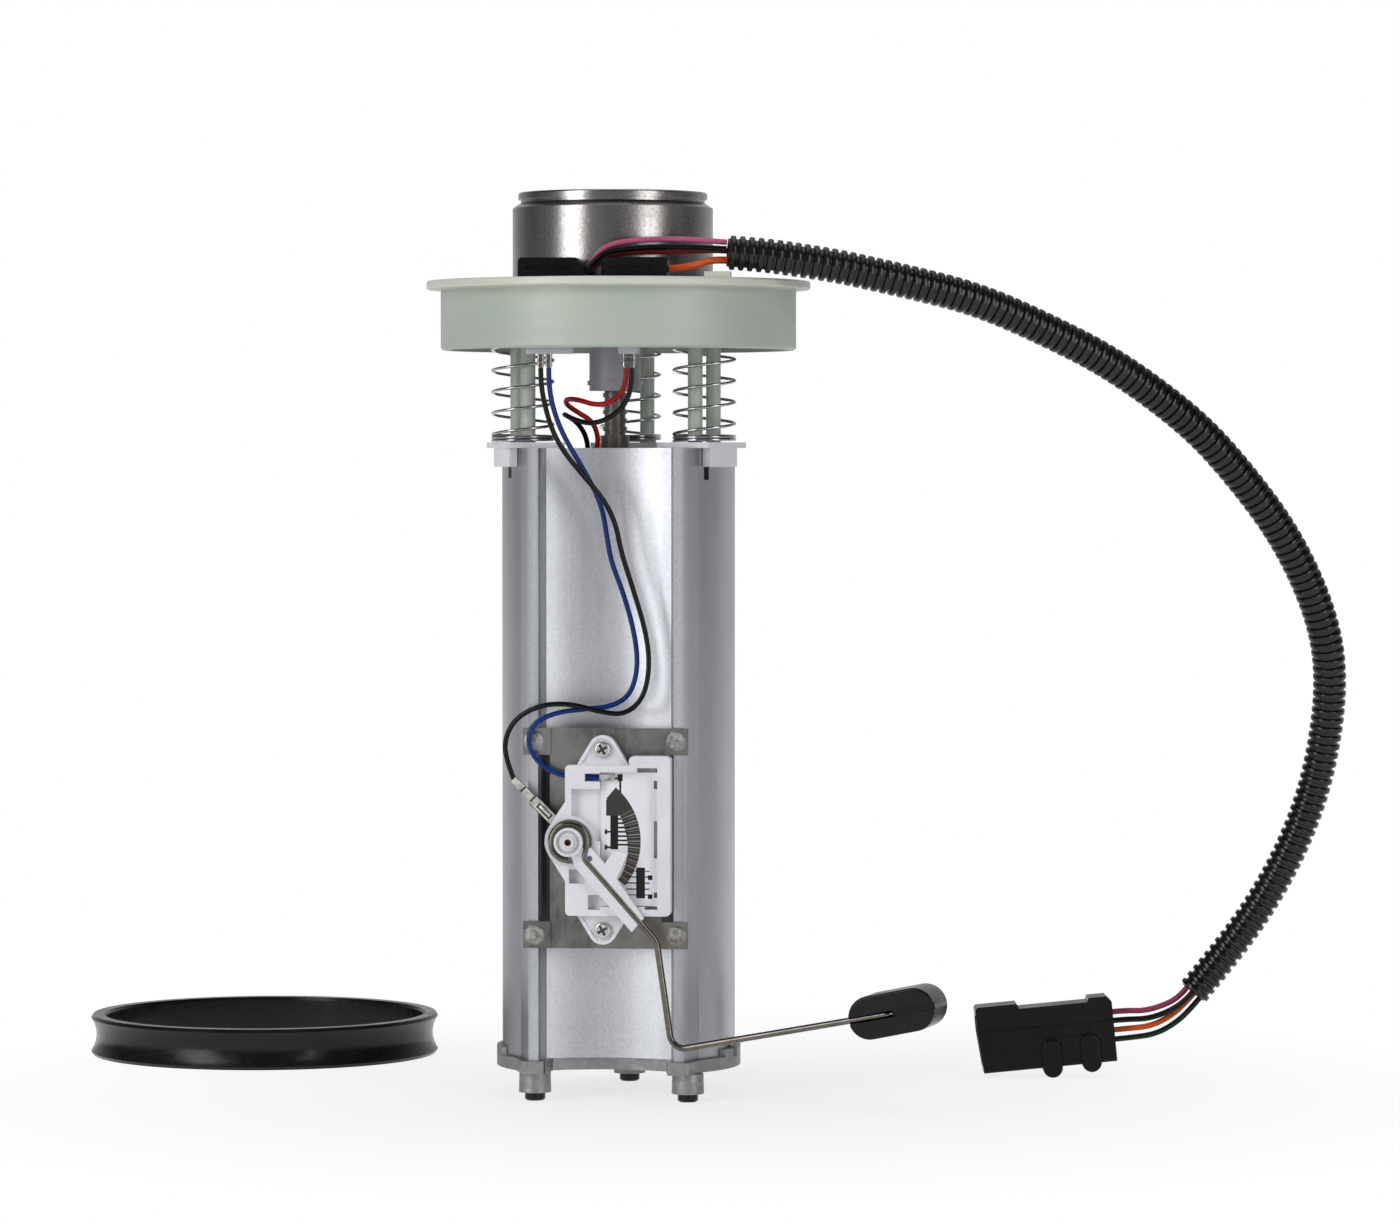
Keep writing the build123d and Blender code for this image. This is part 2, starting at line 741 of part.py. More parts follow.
# Sender housing: white tray with two screw ears, a lobe round the pivot and a pocket for the card
with BuildPart() as housing:
    with BuildSketch(Plane.XZ.offset(panel_front)):
        with Locations(((housing_left + housing_right) / 2, (housing_top + housing_bottom) / 2)):
            RectangleRounded(housing_right - housing_left, housing_top - housing_bottom, 1.6)
    extrude(amount=housing_thickness)
    corner_width = housing_right - housing_corner_left
    corner_height = housing_corner_top - housing_top + 6.0
    with BuildSketch(Plane.XZ.offset(panel_front)):
        with Locations((housing_right - corner_width / 2, housing_corner_top - corner_height / 2)):
            RectangleRounded(corner_width, corner_height, 1.6)
    extrude(amount=housing_thickness)
    with BuildSketch(Plane.XZ.offset(panel_front)):
        with BuildLine():
            for lobe_edge in (pivot_z + lobe_radius + 5.0, pivot_z - lobe_radius - 5.0):
                Line((housing_left, lobe_edge), (housing_left + 4, lobe_edge))
            CenterArc((pivot_x, pivot_z), lobe_radius, 90, 180)
        make_hull()
    extrude(amount=housing_thickness)
    for screw_z, edge in ((screw_top_z, housing_top - 2), (screw_bottom_z, housing_bottom + 2)):
        with BuildSketch(Plane.XZ.offset(panel_front)):
            with BuildLine():
                CenterArc((screw_x, screw_z), ear_radius, 0, 360)
                Line((screw_x - 10.2, edge), (screw_x + 10.2, edge))
            make_hull()
        extrude(amount=4.0)
        inner_edge = edge + 2.6 if screw_z > edge else edge - 2.6
        with BuildSketch(Plane.XZ.offset(panel_front + ear_floor)):
            with BuildLine():
                CenterArc((screw_x, screw_z), ear_radius - 1.1, 0, 360)
                Line((screw_x - 7.4, inner_edge), (screw_x + 7.4, inner_edge))
            make_hull()
        extrude(amount=1.0, mode=Mode.SUBTRACT)
        with BuildSketch(Plane.XZ.offset(panel_front)):
            with Locations((screw_x, screw_z)):
                Circle(screw_shank_radius)
        extrude(amount=4.0, mode=Mode.SUBTRACT)
    card_middle = card_left + card_width / 2
    card_level = card_top - card_height / 2
    with BuildSketch(Plane.XZ.offset(panel_front + pocket_floor)):
        with Locations((card_middle, card_level)):
            Rectangle(card_width + 0.4, card_height + 0.4)
    extrude(amount=housing_thickness, mode=Mode.SUBTRACT)
    with BuildSketch(Plane.XZ.offset(panel_front + pocket_floor)):
        with Locations((pivot_x + 5.7, pivot_z + 9.2)):
            Rectangle(10.6, 18.2)
        with Locations((pivot_x + 2.4, pivot_z - 12.2)):
            Rectangle(5.6, 5.0)
        with Locations((pivot_x + 8.4, pivot_z - 21.2)):
            Rectangle(4.4, 5.2)
    extrude(amount=housing_thickness, mode=Mode.SUBTRACT)
    slot_x = card_left + card_width + 0.7
    with BuildSketch(Plane.XZ.offset(panel_front + housing_thickness - 1.2)):
        with Locations((slot_x, pivot_z - 0.2)):
            Rectangle(1.6, 43.0)
    extrude(amount=housing_thickness, mode=Mode.SUBTRACT)
    with BuildSketch(Plane.XZ.offset(panel_front + 1.0)):
        for level, height in ((pivot_z + 19.8, 3.0), (pivot_z + 0.7, 13.0), (pivot_z - 18.6, 2.0)):
            with Locations((slot_x, level)):
                Rectangle(1.6, height)
        with Locations((slot_x - 2.8, pivot_z + 24.9)):
            Rectangle(7.2, 1.6)
        with Locations((slot_x - 1.5, pivot_z - 23.0)):
            Rectangle(4.6, 1.3)
    extrude(amount=housing_thickness, mode=Mode.SUBTRACT)
    with BuildSketch(Plane.XZ.offset(panel_front + 2.0)):
        with Locations((pivot_x, pivot_z)):
            Circle(lobe_radius)
            Circle(lobe_radius - 1.2, mode=Mode.SUBTRACT)
    extrude(amount=housing_thickness - 2.0)
    with BuildSketch(Plane.XZ.offset(panel_front + 2.0)):
        with Locations((pivot_x, pivot_z)):
            Circle(lobe_radius - 1.2)
    extrude(amount=housing_thickness, mode=Mode.SUBTRACT)
    with BuildSketch(Plane.XZ.offset(panel_front + 2.0)):
        with Locations((pivot_x, pivot_z)):
            Circle(pin_radius)
    extrude(amount=arm_plane + 4.2 - panel_front - 2.0)
    with BuildSketch(Plane.XZ.offset(arm_plane + 4.2)):
        with Locations((pivot_x, pivot_z)):
            Circle(pin_radius - 1.2)
    extrude(amount=-3.0, mode=Mode.SUBTRACT)
    lead_way = housing_left + (card_left - housing_left) / 2
    with Locations((lead_way, -panel_front - 4.1, -170.5)):
        Box(card_left - housing_left + 4.0, 2.6, 2.8, mode=Mode.SUBTRACT)
    with Locations((card_left - 2.5, -panel_front - 6.0, -170.5)):
        Box(6.0, 6.0, 2.8, mode=Mode.SUBTRACT)
    terminal_way = Location((pivot_x - 6.0, -panel_front - 4.0, pivot_z + 7.2), (0, 45, 0))
    with Locations(terminal_way):
        Box(9.0, 1.8, 4.4, mode=Mode.SUBTRACT)
finish(housing.part, "sender_housing")

# Resistor card in the pocket
with BuildPart() as card:
    with BuildSketch(Plane.XZ.offset(panel_front + pocket_floor)):
        with Locations((card_middle, card_level)):
            Rectangle(card_width, card_height)
    extrude(amount=card_thickness)
finish(card.part, "resistor_card")

# Screws that hold the housing to the bracket
for name, screw_z in (("upper", screw_top_z), ("lower", screw_bottom_z)):
    with BuildPart() as screw:
        with BuildSketch(Plane.XZ.offset(panel_front)):
            with Locations((screw_x, screw_z)):
                Circle(screw_shank_radius)
        extrude(amount=ear_floor)
        with BuildSketch(Plane.XZ.offset(panel_front + ear_floor)):
            with Locations((screw_x, screw_z)):
                Circle(screw_head_radius)
        extrude(amount=1.7)
        fillet(screw.faces().sort_by(Axis.Y)[0].edges(), radius=0.8)
        with BuildSketch(Plane.XZ.offset(panel_front + ear_floor + 0.7)):
            with Locations(Location((screw_x, screw_z), 30)):
                Rectangle(3.8, 0.9)
                Rectangle(0.9, 3.8)
        extrude(amount=1.0, mode=Mode.SUBTRACT)
    finish(screw.part, f"sender_screw_{name}")

# Terminals of the sender's two leads
with BuildPart() as sender_terminal_black:
    with Locations(Location((pivot_x - 9.2, -panel_front - 4.0, pivot_z + 10.4), (0, 45, 0))):
        Box(11.0, 1.6, 4.0)
        Box(6.4, 1.0, 2.0, align=(Align.CENTER, Align.MAX, Align.CENTER), mode=Mode.SUBTRACT)
    with Locations(Location((pivot_x - 16.6, -panel_front - 3.6, pivot_z + 17.8), (0, 45, 0))):
        Box(10.2, 2.2, 2.4)
finish(sender_terminal_black.part, "sender_terminal_black")

with BuildPart() as sender_terminal_blue:
    with Locations((card_left + 2.2, -panel_front - pocket_floor - card_thickness - 0.8, -170.5)):
        Box(5.4, 1.6, 2.0)
finish(sender_terminal_blue.part, "sender_terminal_blue")

# Wiper: hub on the pivot pin, channel for the arm and a blade over the card
with BuildPart() as wiper:
    with BuildSketch(Plane.XZ.offset(panel_front + 2.6)):
        with Locations((pivot_x, pivot_z)):
            Circle(hub_radius)
            Circle(hub_bore, mode=Mode.SUBTRACT)
    extrude(amount=arm_plane + 3.6 - panel_front - 2.6)
    with BuildSketch(Plane.XZ.offset(arm_plane + 3.6)):
        with Locations((pivot_x, pivot_z)):
            Circle(hub_radius - 0.9)
            Circle(hub_bore + 0.6, mode=Mode.SUBTRACT)
    extrude(amount=-0.8, mode=Mode.SUBTRACT)
    with BuildSketch(Plane.XZ.offset(housing_front + 0.3)):
        with BuildLine():
            Polyline(
                (pivot_x + 4.2, pivot_z - 2.0),
                (pivot_x + 7.7, pivot_z - 2.0),
                (pivot_x + 12.5, pivot_z - 7.5),
                (pivot_x + 15.7, pivot_z - 3.0),
                (pivot_x + 20.6, pivot_z - 3.8),
                (pivot_x + 16.7, pivot_z - 12.7),
                (pivot_x + 26.1, pivot_z - 26.4),
                (pivot_x + 21.9, pivot_z - 31.2),
                (pivot_x + 2.2, pivot_z - 9.0),
                (pivot_x + 0.6, pivot_z - 4.8),
                (pivot_x + 4.2, pivot_z - 2.0),
            )
        make_face()
        with Locations((pivot_x, pivot_z)):
            Circle(hub_bore, mode=Mode.SUBTRACT)
    extrude(amount=2.2)
arm_corners = (
    (pivot_x - 0.3, pivot_z - 6.25),
    (pivot_x - 6.25, pivot_z - 6.25),
    (pivot_x - 6.25, pivot_z + 6.25),
    (pivot_x + 6.25, pivot_z + 6.25),
    (pivot_x + 6.25, pivot_z - 1.0),
    (pivot_x + 5.2, pivot_z - 5.8),
    (pivot_x + 30.6, pivot_z - 34.6),
    (pivot_x + 36.0, pivot_z - 72.3),
)
arm_bends = (5.6, 6.2, 6.2, 3.0, 2.6, 6.0, 5.0)
lean = math.radians(float_turn)
float_y = -arm_plane - (float_x - pivot_x - 36.0) * math.tan(lean)
arm_end = (float_x + arm_push * math.sin(lean), float_y + arm_push * math.cos(lean), float_z)
route_points = [*((x, -arm_plane, z) for x, z in arm_corners), (float_x, float_y, float_z)]
with BuildPart() as channel_cutter:
    with BuildLine() as channel_route:
        FilletPolyline(*route_points[:7], radius=arm_bends[:5])
    with BuildSketch(Plane(origin=channel_route.line @ 0, z_dir=channel_route.line % 0)):
        Circle(arm_wire / 2 + 0.02)
    sweep()
with BuildPart(mode=Mode.PRIVATE) as wiper_cut:
    add(wiper.part)
    add(channel_cutter.part, mode=Mode.SUBTRACT)
finish(wiper_cut.part, "wiper")

# Float arm: one wire that loops round the hub, bends down past the base and ends inside the float
with BuildPart() as float_arm:
    with BuildLine() as arm_route:
        FilletPolyline(*route_points, arm_end, radius=(*arm_bends, 2.4))
    with BuildSketch(Plane(origin=arm_route.line @ 0, z_dir=arm_route.line % 0)):
        Circle(arm_wire / 2)
    sweep()
finish(float_arm.part, "float_arm")

# Float with a groove across its front face and a bore that the arm's end is pushed into
float_place = Location((float_x, float_y, float_z), (0, 0, -float_turn))
with BuildPart() as fuel_float:
    with BuildSketch(Plane.XZ.offset(1.7)):
        with Locations(Location((0, 0), float_tilt)):
            SlotOverall(float_length, float_height)
    extrude(amount=-float_depth)
    fillet(fuel_float.edges().filter_by(Plane.XZ), radius=0.8)
with BuildPart(mode=Mode.PRIVATE) as arm_room:
    with BuildLine() as room_route:
        FilletPolyline(*route_points[-2:], arm_end, radius=2.4)
    with BuildSketch(Plane(origin=room_route.line @ 0, z_dir=room_route.line % 0)):
        Rectangle(arm_wire + 0.04, arm_wire + 0.04)
    sweep()
with BuildPart(mode=Mode.PRIVATE) as float_cut:
    add(fuel_float.part.moved(float_place))
    add(arm_room.part, mode=Mode.SUBTRACT)
    with Locations(float_place * Location((0, -1.5, 0), (0, -float_tilt, 0))):
        Box(2 * float_length, 3.0, arm_wire + 0.04, mode=Mode.SUBTRACT)
finish(float_cut.part, "float")

# Harness plug on the floor: four-way shell, open at its left end, with a latch step and two round pegs
turn = math.radians(plug_turn)
tilt = math.radians(plug_tilt)
peg_radius = 3.6
peg_drop = 12.1
peg_rise = 3.5
peg_stand = 1.4
plug_crease = 3.0
plug_rise = (peg_drop * math.cos(tilt) + peg_radius) - 1.3 * math.sin(tilt)
along = Vector(math.cos(turn) * math.cos(tilt), math.sin(turn) * math.cos(tilt), math.sin(tilt))
away = Vector(-math.sin(turn), math.cos(turn), 0)
plug_middle = Vector(plug_x, plug_y, floor + plug_rise)
plug_plane = Plane(origin=plug_middle - away * (plug_depth / 2), x_dir=along, z_dir=-away)
half = plug_length / 2
with BuildPart() as plug:
    with BuildSketch(plug_plane):
        with BuildLine():
            Polyline(
                (-half + 1.2, -12.0), (half, -12.0), (half, 9.8), (23.0, 11.9), (16.5, 11.9),
                (16.0, 10.4), (-8.9, 10.4), (-9.6, 12.2), (-half + 0.8, 12.2), (-half, 11.4),
                (-half, 2.6), (-half + 1.2, -12.0),
            )
        make_face()
    extrude(amount=-plug_depth)
    fillet(plug.edges().filter_by(lambda edge: edge.length > 40).sort_by(Axis.Z)[:2], radius=1.2)
    with BuildSketch(plug_plane):
        with Locations((0, plug_crease + 5.0)):
            Rectangle(2 * plug_length, 10.0)
    extrude(amount=-0.6, mode=Mode.SUBTRACT)
    with BuildSketch(plug_plane.offset(-0.6)):
        with Locations((7.0, plug_crease - 2.6)):
            Rectangle(19.0, 3.4)
    extrude(amount=0.6, mode=Mode.SUBTRACT)
    with BuildSketch(plug_plane.offset(peg_stand)):
        with Locations((1.3, peg_rise - peg_drop), (15.6, peg_rise - peg_drop + 0.7)):
            SlotCenterToCenter(2 * peg_rise, 2 * peg_radius, rotation=90)
    extrude(amount=-plug_depth - peg_stand + 1.5)
    reach = peg_stand - 0.1
    peg_fronts = plug.faces().filter_by(lambda face: (face.center() - plug_plane.origin).dot(-away) > reach)
    fillet(peg_fronts.edges(), radius=0.9)
    mouth = plug_plane.from_local_coords((-half, -0.2, -plug_depth / 2))
    socket = Plane(origin=mouth, x_dir=away, z_dir=along)
    with BuildSketch(socket):
        Rectangle(plug_depth - 2 * plug_wall, 2 * 11.0 - 2 * plug_wall)
    extrude(amount=24.0, mode=Mode.SUBTRACT)
finish(plug.part, "harness_plug")

# Tank seal: loose rubber ring with flared lips, laid flat beside the module
with BuildPart() as seal:
    with BuildSketch(Plane.XZ):
        with BuildLine():
            outer = seal_radius
            inner = seal_bore
            ThreePointArc((outer, 1.2), (outer - 2.0, seal_height / 2), (outer, seal_height - 1.2))
            upper = seal_height - 1.2
            Polyline((outer, upper), (outer - 0.8, seal_height), (inner + 0.6, seal_height), (inner, upper))
            Line((inner, seal_height - 1.2), (inner, 1.2))
            Polyline((inner, 1.2), (inner + 0.6, 0), (outer - 0.8, 0), (outer, 1.2))
        make_face()
    revolve(axis=Axis.Z)
seal.part.position = (seal_x, seal_y, floor)
finish(seal.part, "tank_seal")

# Cords. Every route is a list of hand-chosen points along the real lead.
conduit_points = [
    (42.6, -37.8, 11.8), (53.8, -36.1, 11.1), (67.5, -33.1, 9.2), (81.2, -29.7, 7.0), (94.9, -25.7, 4.0),
    (108.5, -21.3, 0.9), (122.2, -16.3, -2.5), (135.9, -10.8, -7.3), (153.1, -3.5, -15.2),
    (170.4, 4.3, -23.9), (187.8, 13.2, -35.5), (205.2, 23.1, -49.6), (219.3, 32.1, -65.6),
    (233.5, 41.6, -84.6), (244.2, 49.8, -105.2), (250.6, 56.5, -125.1), (251.8, 61.7, -143.4),
    (249.6, 65.5, -163.4), (245.0, 68.0, -183.5), (237.0, 69.7, -203.6), (226.9, 70.6, -221.9),
    (215.3, 70.4, -238.4), (202.4, 69.5, -254.2),
]
conduit_first = Vector(*conduit_points[1]) - Vector(*conduit_points[0])
conduit_last = Vector(*conduit_points[-1]) - Vector(*conduit_points[-2])
upper_mouth = Plane(origin=conduit_points[0], x_dir=(0, -1, 0), z_dir=-conduit_first)
lower_mouth = Plane(origin=conduit_points[-1], x_dir=(0, -1, 0), z_dir=conduit_last)
plug_face = Plane(origin=plug_plane.from_local_coords((half, 0, -plug_depth / 2)), x_dir=away, z_dir=along)


def out_of(face, side, up, *reaches):
    """Points straight out of a face, at the given distances from it."""
    points = [face.from_local_coords((side, up, reach)) for reach in reaches]
    return [(point.X, point.Y, point.Z) for point in points]


def loom_lead(first, middle, side, up):
    """Wire from a connector shell into the upper end of the conduit."""
    return [*first, *middle, *out_of(upper_mouth, side, up, 5.0, 0.0)]


def plug_lead(side, up, middle, entry_side, entry_up):
    """Wire from the lower end of the conduit into the plug."""
    return [
        *out_of(lower_mouth, side, up, 0.0, 5.0),
        *middle,
        *out_of(plug_face, entry_side, entry_up, 5.5, 0.0),
    ]


pin_top = pump_top + 3.0


def lead_level(share):
    """Level at a share of the way down from the body's top to the pump's pins."""
    return body_top + share * (pin_top - body_top)


cords = {
    "conduit": (conduit_diameter, conduit_points),
    "sender_lead_black": (lead_diameter, [
        (-21.4, -48.0, crimp_bottom), (-21.4, -48.0, -33.6), (-20.2, -46.8, -41.1), (-18.0, -44.4, -49.8),
        (-14.1, -42.4, -57.4), (-7.7, -40.6, -65.4), (-0.6, -38.6, -73.8), (3.5, -37.0, -82.5),
        (5.2, -36.0, -92.3), (9.3, -35.0, -105.2), (13.8, -35.0, -120.1), (15.3, -36.0, -131.9),
        (13.3, -panel_front + 1.4, -143.1), (6.8, -panel_front + 0.2, -149.0),
        (-1.8, -panel_front - 1.2, -147.9), (-11.5, -panel_front - 2.8, -145.1),
        (-21.3, -panel_front - 3.2, -145.2), (-30.5, -panel_front - 2.5, -149.4),
        (-34.8, -panel_front - 2.2, -156.1), (-35.1, -panel_front - 2.8, -163.7),
        (-31.8, -panel_front - 3.6, -171.4),
    ]),
    "sender_lead_blue": (lead_diameter, [
        (-18.6, -48.0, crimp_bottom), (-18.6, -48.0, -34.0), (-17.4, -46.7, -42.0), (-14.5, -43.6, -50.9),
        (-9.6, -39.8, -60.0), (-4.6, -36.2, -69.4), (-1.5, -34.2, -77.6), (-0.2, -33.4, -86.4),
        (1.3, -32.8, -95.8), (5.8, -32.4, -107.3), (9.6, -32.3, -121.3), (10.8, -32.9, -132.8),
        (8.1, -panel_front + 4.4, -142.5), (1.2, -panel_front + 2.8, -146.4),
        (-7.9, -panel_front + 1.0, -147.0), (-17.9, -panel_front - 0.8, -148.3),
        (-25.5, -panel_front - 1.8, -152.2), (-27.2, -panel_front - 2.4, -158.8),
        (-24.2, -panel_front - 3.2, -164.6), (-18.6, -panel_front - 4.0, -168.9),
        (-11.0, -panel_front - 4.1, -170.5), (-1.5, -panel_front - 4.2, -170.6),
    ]),
    "pump_lead_red": (lead_diameter, [
        (8.3, -47.0, crimp_bottom), (8.3, -47.0, -33.2), (5.6, -45.6, -37.4), (-0.8, -42.0, -39.4),
        (-7.0, -37.0, -38.4), (-11.8, -30.0, -40.4), (-12.6, -22.5, -46.0), (-11.6, -17.0, -55.0),
        (-10.8, -12.5, lead_level(0.14)), (-10.2, -9.0, lead_level(0.30)),
        (-9.8, -6.6, lead_level(0.47)), (-9.4, -5.4, lead_level(0.66)),
        (-9.5, -5.0, lead_level(0.84)), (-9.5, -5.0, pin_top),
    ]),
    "pump_lead_black": (lead_diameter, [
        (10.3, -47.0, crimp_bottom), (10.3, -47.0, -34.6), (7.6, -44.6, -41.2), (1.8, -41.0, -45.6),
        (-5.0, -36.8, -47.6), (-11.4, -31.0, -47.8), (-15.6, -24.0, -49.4), (-15.9, -16.4, -56.0),
        (-15.2, -9.2, lead_level(0.13)), (-13.6, -2.0, lead_level(0.30)),
        (-11.6, 4.2, lead_level(0.48)), (-10.0, 8.0, lead_level(0.67)),
        (-9.5, 9.0, lead_level(0.84)), (-9.5, 9.0, pin_top),
    ]),
    "loom_wire_black": (loom_wire, loom_lead(
        [(-6.1, -46.0, 5.4), (-3.4, -45.9, 8.6)],
        [(1.2, -45.5, 12.0), (8.4, -44.7, 13.1), (16.2, -43.6, 13.6), (25.7, -41.9, 13.8)],
        1.8, 1.2)),
    "loom_wire_pink": (loom_wire, loom_lead(
        [(-6.1, -43.4, 5.4), (-3.8, -43.2, 9.8)],
        [(1.2, -42.8, 14.4), (9.0, -42.0, 15.9), (17.6, -41.0, 16.4), (26.9, -39.6, 16.5)],
        -0.2, 3.6)),
    "loom_wire_red": (loom_wire, loom_lead(
        [(-6.1, -40.8, 5.0), (-2.9, -40.8, 8.2)],
        [(1.9, -40.8, 11.2), (9.5, -40.4, 12.0), (17.8, -39.5, 12.1), (26.8, -37.8, 12.2)],
        -2.2, 0.6)),
    "loom_wire_orange": (orange_wire, loom_lead(
        [(22.9, -46.0, 6.0), (27.1, -44.9, 6.3)],
        [(32.2, -42.6, 7.4)],
        0.4, -2.7)),
    "plug_wire_purple": (lead_diameter, plug_lead(
        -0.2, 2.8, [(191.0, 69.0, -261.2), (185.4, 68.4, -262.9)], 0.2, 5.4)),
    "plug_wire_black": (lead_diameter, plug_lead(
        2.6, 0.4, [(192.6, 66.9, -262.8), (186.4, 67.0, -265.6)], 0.2, 2.2)),
    "plug_wire_orange": (lead_diameter, plug_lead(
        -0.2, -0.4, [(193.8, 69.6, -264.6), (187.6, 68.6, -268.4)], 0.2, -1.2)),
    "plug_wire_green": (lead_diameter, plug_lead(
        -1.4, -3.2, [(196.6, 71.0, -266.2), (189.6, 69.9, -271.4)], 0.2, -4.6)),
}
for name, (diameter, points) in cords.items():
    tube = cord_tube(points, diameter)
    length = tube.volume / (math.pi * diameter**2 / 4)
    print(name, "length", round(length, 1), "smallest bend", round(min(corner_radii(points)), 1))
    finish(tube, name)
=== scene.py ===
import math
import bpy
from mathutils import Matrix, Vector


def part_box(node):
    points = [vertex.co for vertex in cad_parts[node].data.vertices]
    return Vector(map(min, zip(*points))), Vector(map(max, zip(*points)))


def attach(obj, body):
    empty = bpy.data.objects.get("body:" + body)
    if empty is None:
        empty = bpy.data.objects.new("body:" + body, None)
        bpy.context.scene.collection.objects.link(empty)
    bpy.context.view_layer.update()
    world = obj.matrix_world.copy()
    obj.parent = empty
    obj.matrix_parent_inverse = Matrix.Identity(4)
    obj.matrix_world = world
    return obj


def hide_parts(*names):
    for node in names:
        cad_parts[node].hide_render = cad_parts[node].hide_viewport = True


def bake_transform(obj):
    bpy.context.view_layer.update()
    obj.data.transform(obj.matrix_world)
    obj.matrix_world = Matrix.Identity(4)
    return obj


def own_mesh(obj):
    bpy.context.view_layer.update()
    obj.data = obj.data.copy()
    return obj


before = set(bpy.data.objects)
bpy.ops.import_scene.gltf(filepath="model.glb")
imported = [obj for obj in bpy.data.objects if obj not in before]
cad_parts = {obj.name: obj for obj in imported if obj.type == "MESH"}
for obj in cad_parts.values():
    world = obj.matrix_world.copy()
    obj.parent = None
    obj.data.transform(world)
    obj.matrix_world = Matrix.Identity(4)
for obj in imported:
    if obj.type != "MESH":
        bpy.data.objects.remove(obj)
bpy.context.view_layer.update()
print("frame loaded")

mm = 0.001
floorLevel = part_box("foot_left")[0][2]


def tone(*channels):
    # A screen colour from 0 to 255 as the linear colour that shaders use
    return tuple(((c / 255 + 0.055) / 1.055) ** 2.4 for c in channels)


class Link:
    # One output socket, so that sums on surface values can be written as plain expressions
    def __init__(self, bench, socket):
        self.bench = bench
        self.socket = socket

    def maths(self, operation, *values):
        return self.bench.node("ShaderNodeMath", {"operation": operation}, dict(enumerate(values)))

    def output(self, index):
        return Link(self.bench, self.socket.node.outputs[index])

    def __add__(self, other):
        return self.maths("ADD", self, other)

    __radd__ = __add__

    def __sub__(self, other):
        return self.maths("SUBTRACT", self, other)

    def __rsub__(self, other):
        return self.maths("SUBTRACT", other, self)

    def __mul__(self, other):
        return self.maths("MULTIPLY", self, other)

    __rmul__ = __mul__

    def __truediv__(self, other):
        return self.maths("DIVIDE", self, other)

    def __pow__(self, other):
        return self.maths("POWER", self, other)

    def __lt__(self, other):
        return self.maths("LESS_THAN", self, other)

    def __gt__(self, other):
        return self.maths("GREATER_THAN", self, other)

    def __and__(self, other):
        return self.maths("MINIMUM", self, other)

    def __or__(self, other):
        return self.maths("MAXIMUM", self, other)

    def __abs__(self):
        return self.maths("ABSOLUTE", self)


class Bench:
    def __init__(self, tree):
        self.tree = tree

    def node(self, kind, settings, values, output=0):
        made = self.tree.nodes.new(kind)
        for key, value in settings.items():
            setattr(made, key, value)
        for key, value in values.items():
            if isinstance(value, Link):
                self.tree.links.new(value.socket, made.inputs[key])
            else:
                made.inputs[key].default_value = value
        return Link(self, made.outputs[output])

    def spread(self, value, low, high, fromLow=0.3, fromHigh=0.7):
        values = {0: value, 1: fromLow, 2: fromHigh, 3: low, 4: high}
        return self.node("ShaderNodeMapRange", {"clamp": True}, values)


class Finish(Bench):
    def __init__(self, name, color, roughness, metallic=0.0, **plain):
        self.material = bpy.data.materials.new(name)
        self.material.use_nodes = True
        super().__init__(self.material.node_tree)
        self.shader = self.tree.nodes["Principled BSDF"]
        self.shader.inputs["Base Color"].default_value = (*color, 1)
        self.shader.inputs["Roughness"].default_value = roughness
        self.shader.inputs["Metallic"].default_value = metallic
        for key, value in plain.items():
            self.shader.inputs[key.replace("_", " ")].default_value = value
        self.material.diffuse_color = (*color, 1)
        self.place = self.node("ShaderNodeTexCoord", {}, {}, "Object")

    def feed(self, name, value):
        self.tree.links.new(value.socket, self.shader.inputs[name])

    def mapped(self, scale):
        return self.node("ShaderNodeMapping", {}, {"Vector": self.place, "Scale": scale})

    def noise(self, scale, stretch=(1, 1, 1), detail=3.0, rough=0.55):
        return self.node("ShaderNodeTexNoise", {}, {
            "Vector": self.mapped(stretch), "Scale": scale, "Detail": detail, "Roughness": rough})

    def blend(self, mask, first, second):
        values = {0: mask, 6: first if isinstance(first, Link) else (*first, 1)}
        values[7] = second if isinstance(second, Link) else (*second, 1)
        return self.node("ShaderNodeMix", {"data_type": "RGBA"}, values, 2)

    def bump(self, height, depth, under=None):
        values = {"Height": height, "Distance": depth, "Strength": 1.0}
        if under is not None:
            values["Normal"] = under
        return self.node("ShaderNodeBump", {}, values)

    def axes(self):
        split = self.node("ShaderNodeSeparateXYZ", {}, {0: self.place})
        return split, split.output(1), split.output(2)


def between(value, low, high):
    return (value > low) & (value < high)


def anyOf(masks):
    whole = masks[0]
    for mask in masks[1:]:
        whole = whole | mask
    return whole


def mouldedPlastic(
        name, color, second, roughness, grain=900.0, depth=0.00004, patches=22.0, **plain):
    # Injection-moulded skin: slow changes of colour, fine grain and uneven gloss
    finish = Finish(name, color, roughness, 0.0, **plain)
    cloud = finish.noise(patches, detail=4.0)
    fine = finish.noise(grain, detail=2.0)
    finish.feed("Base Color", finish.blend(finish.spread(cloud, 0, 1), color, second))
    gloss = fine * 0.5 + cloud * 0.5
    finish.feed("Roughness", finish.spread(gloss, roughness - 0.07, roughness + 0.09))
    finish.feed("Normal", finish.bump(fine, depth))
    return finish.material


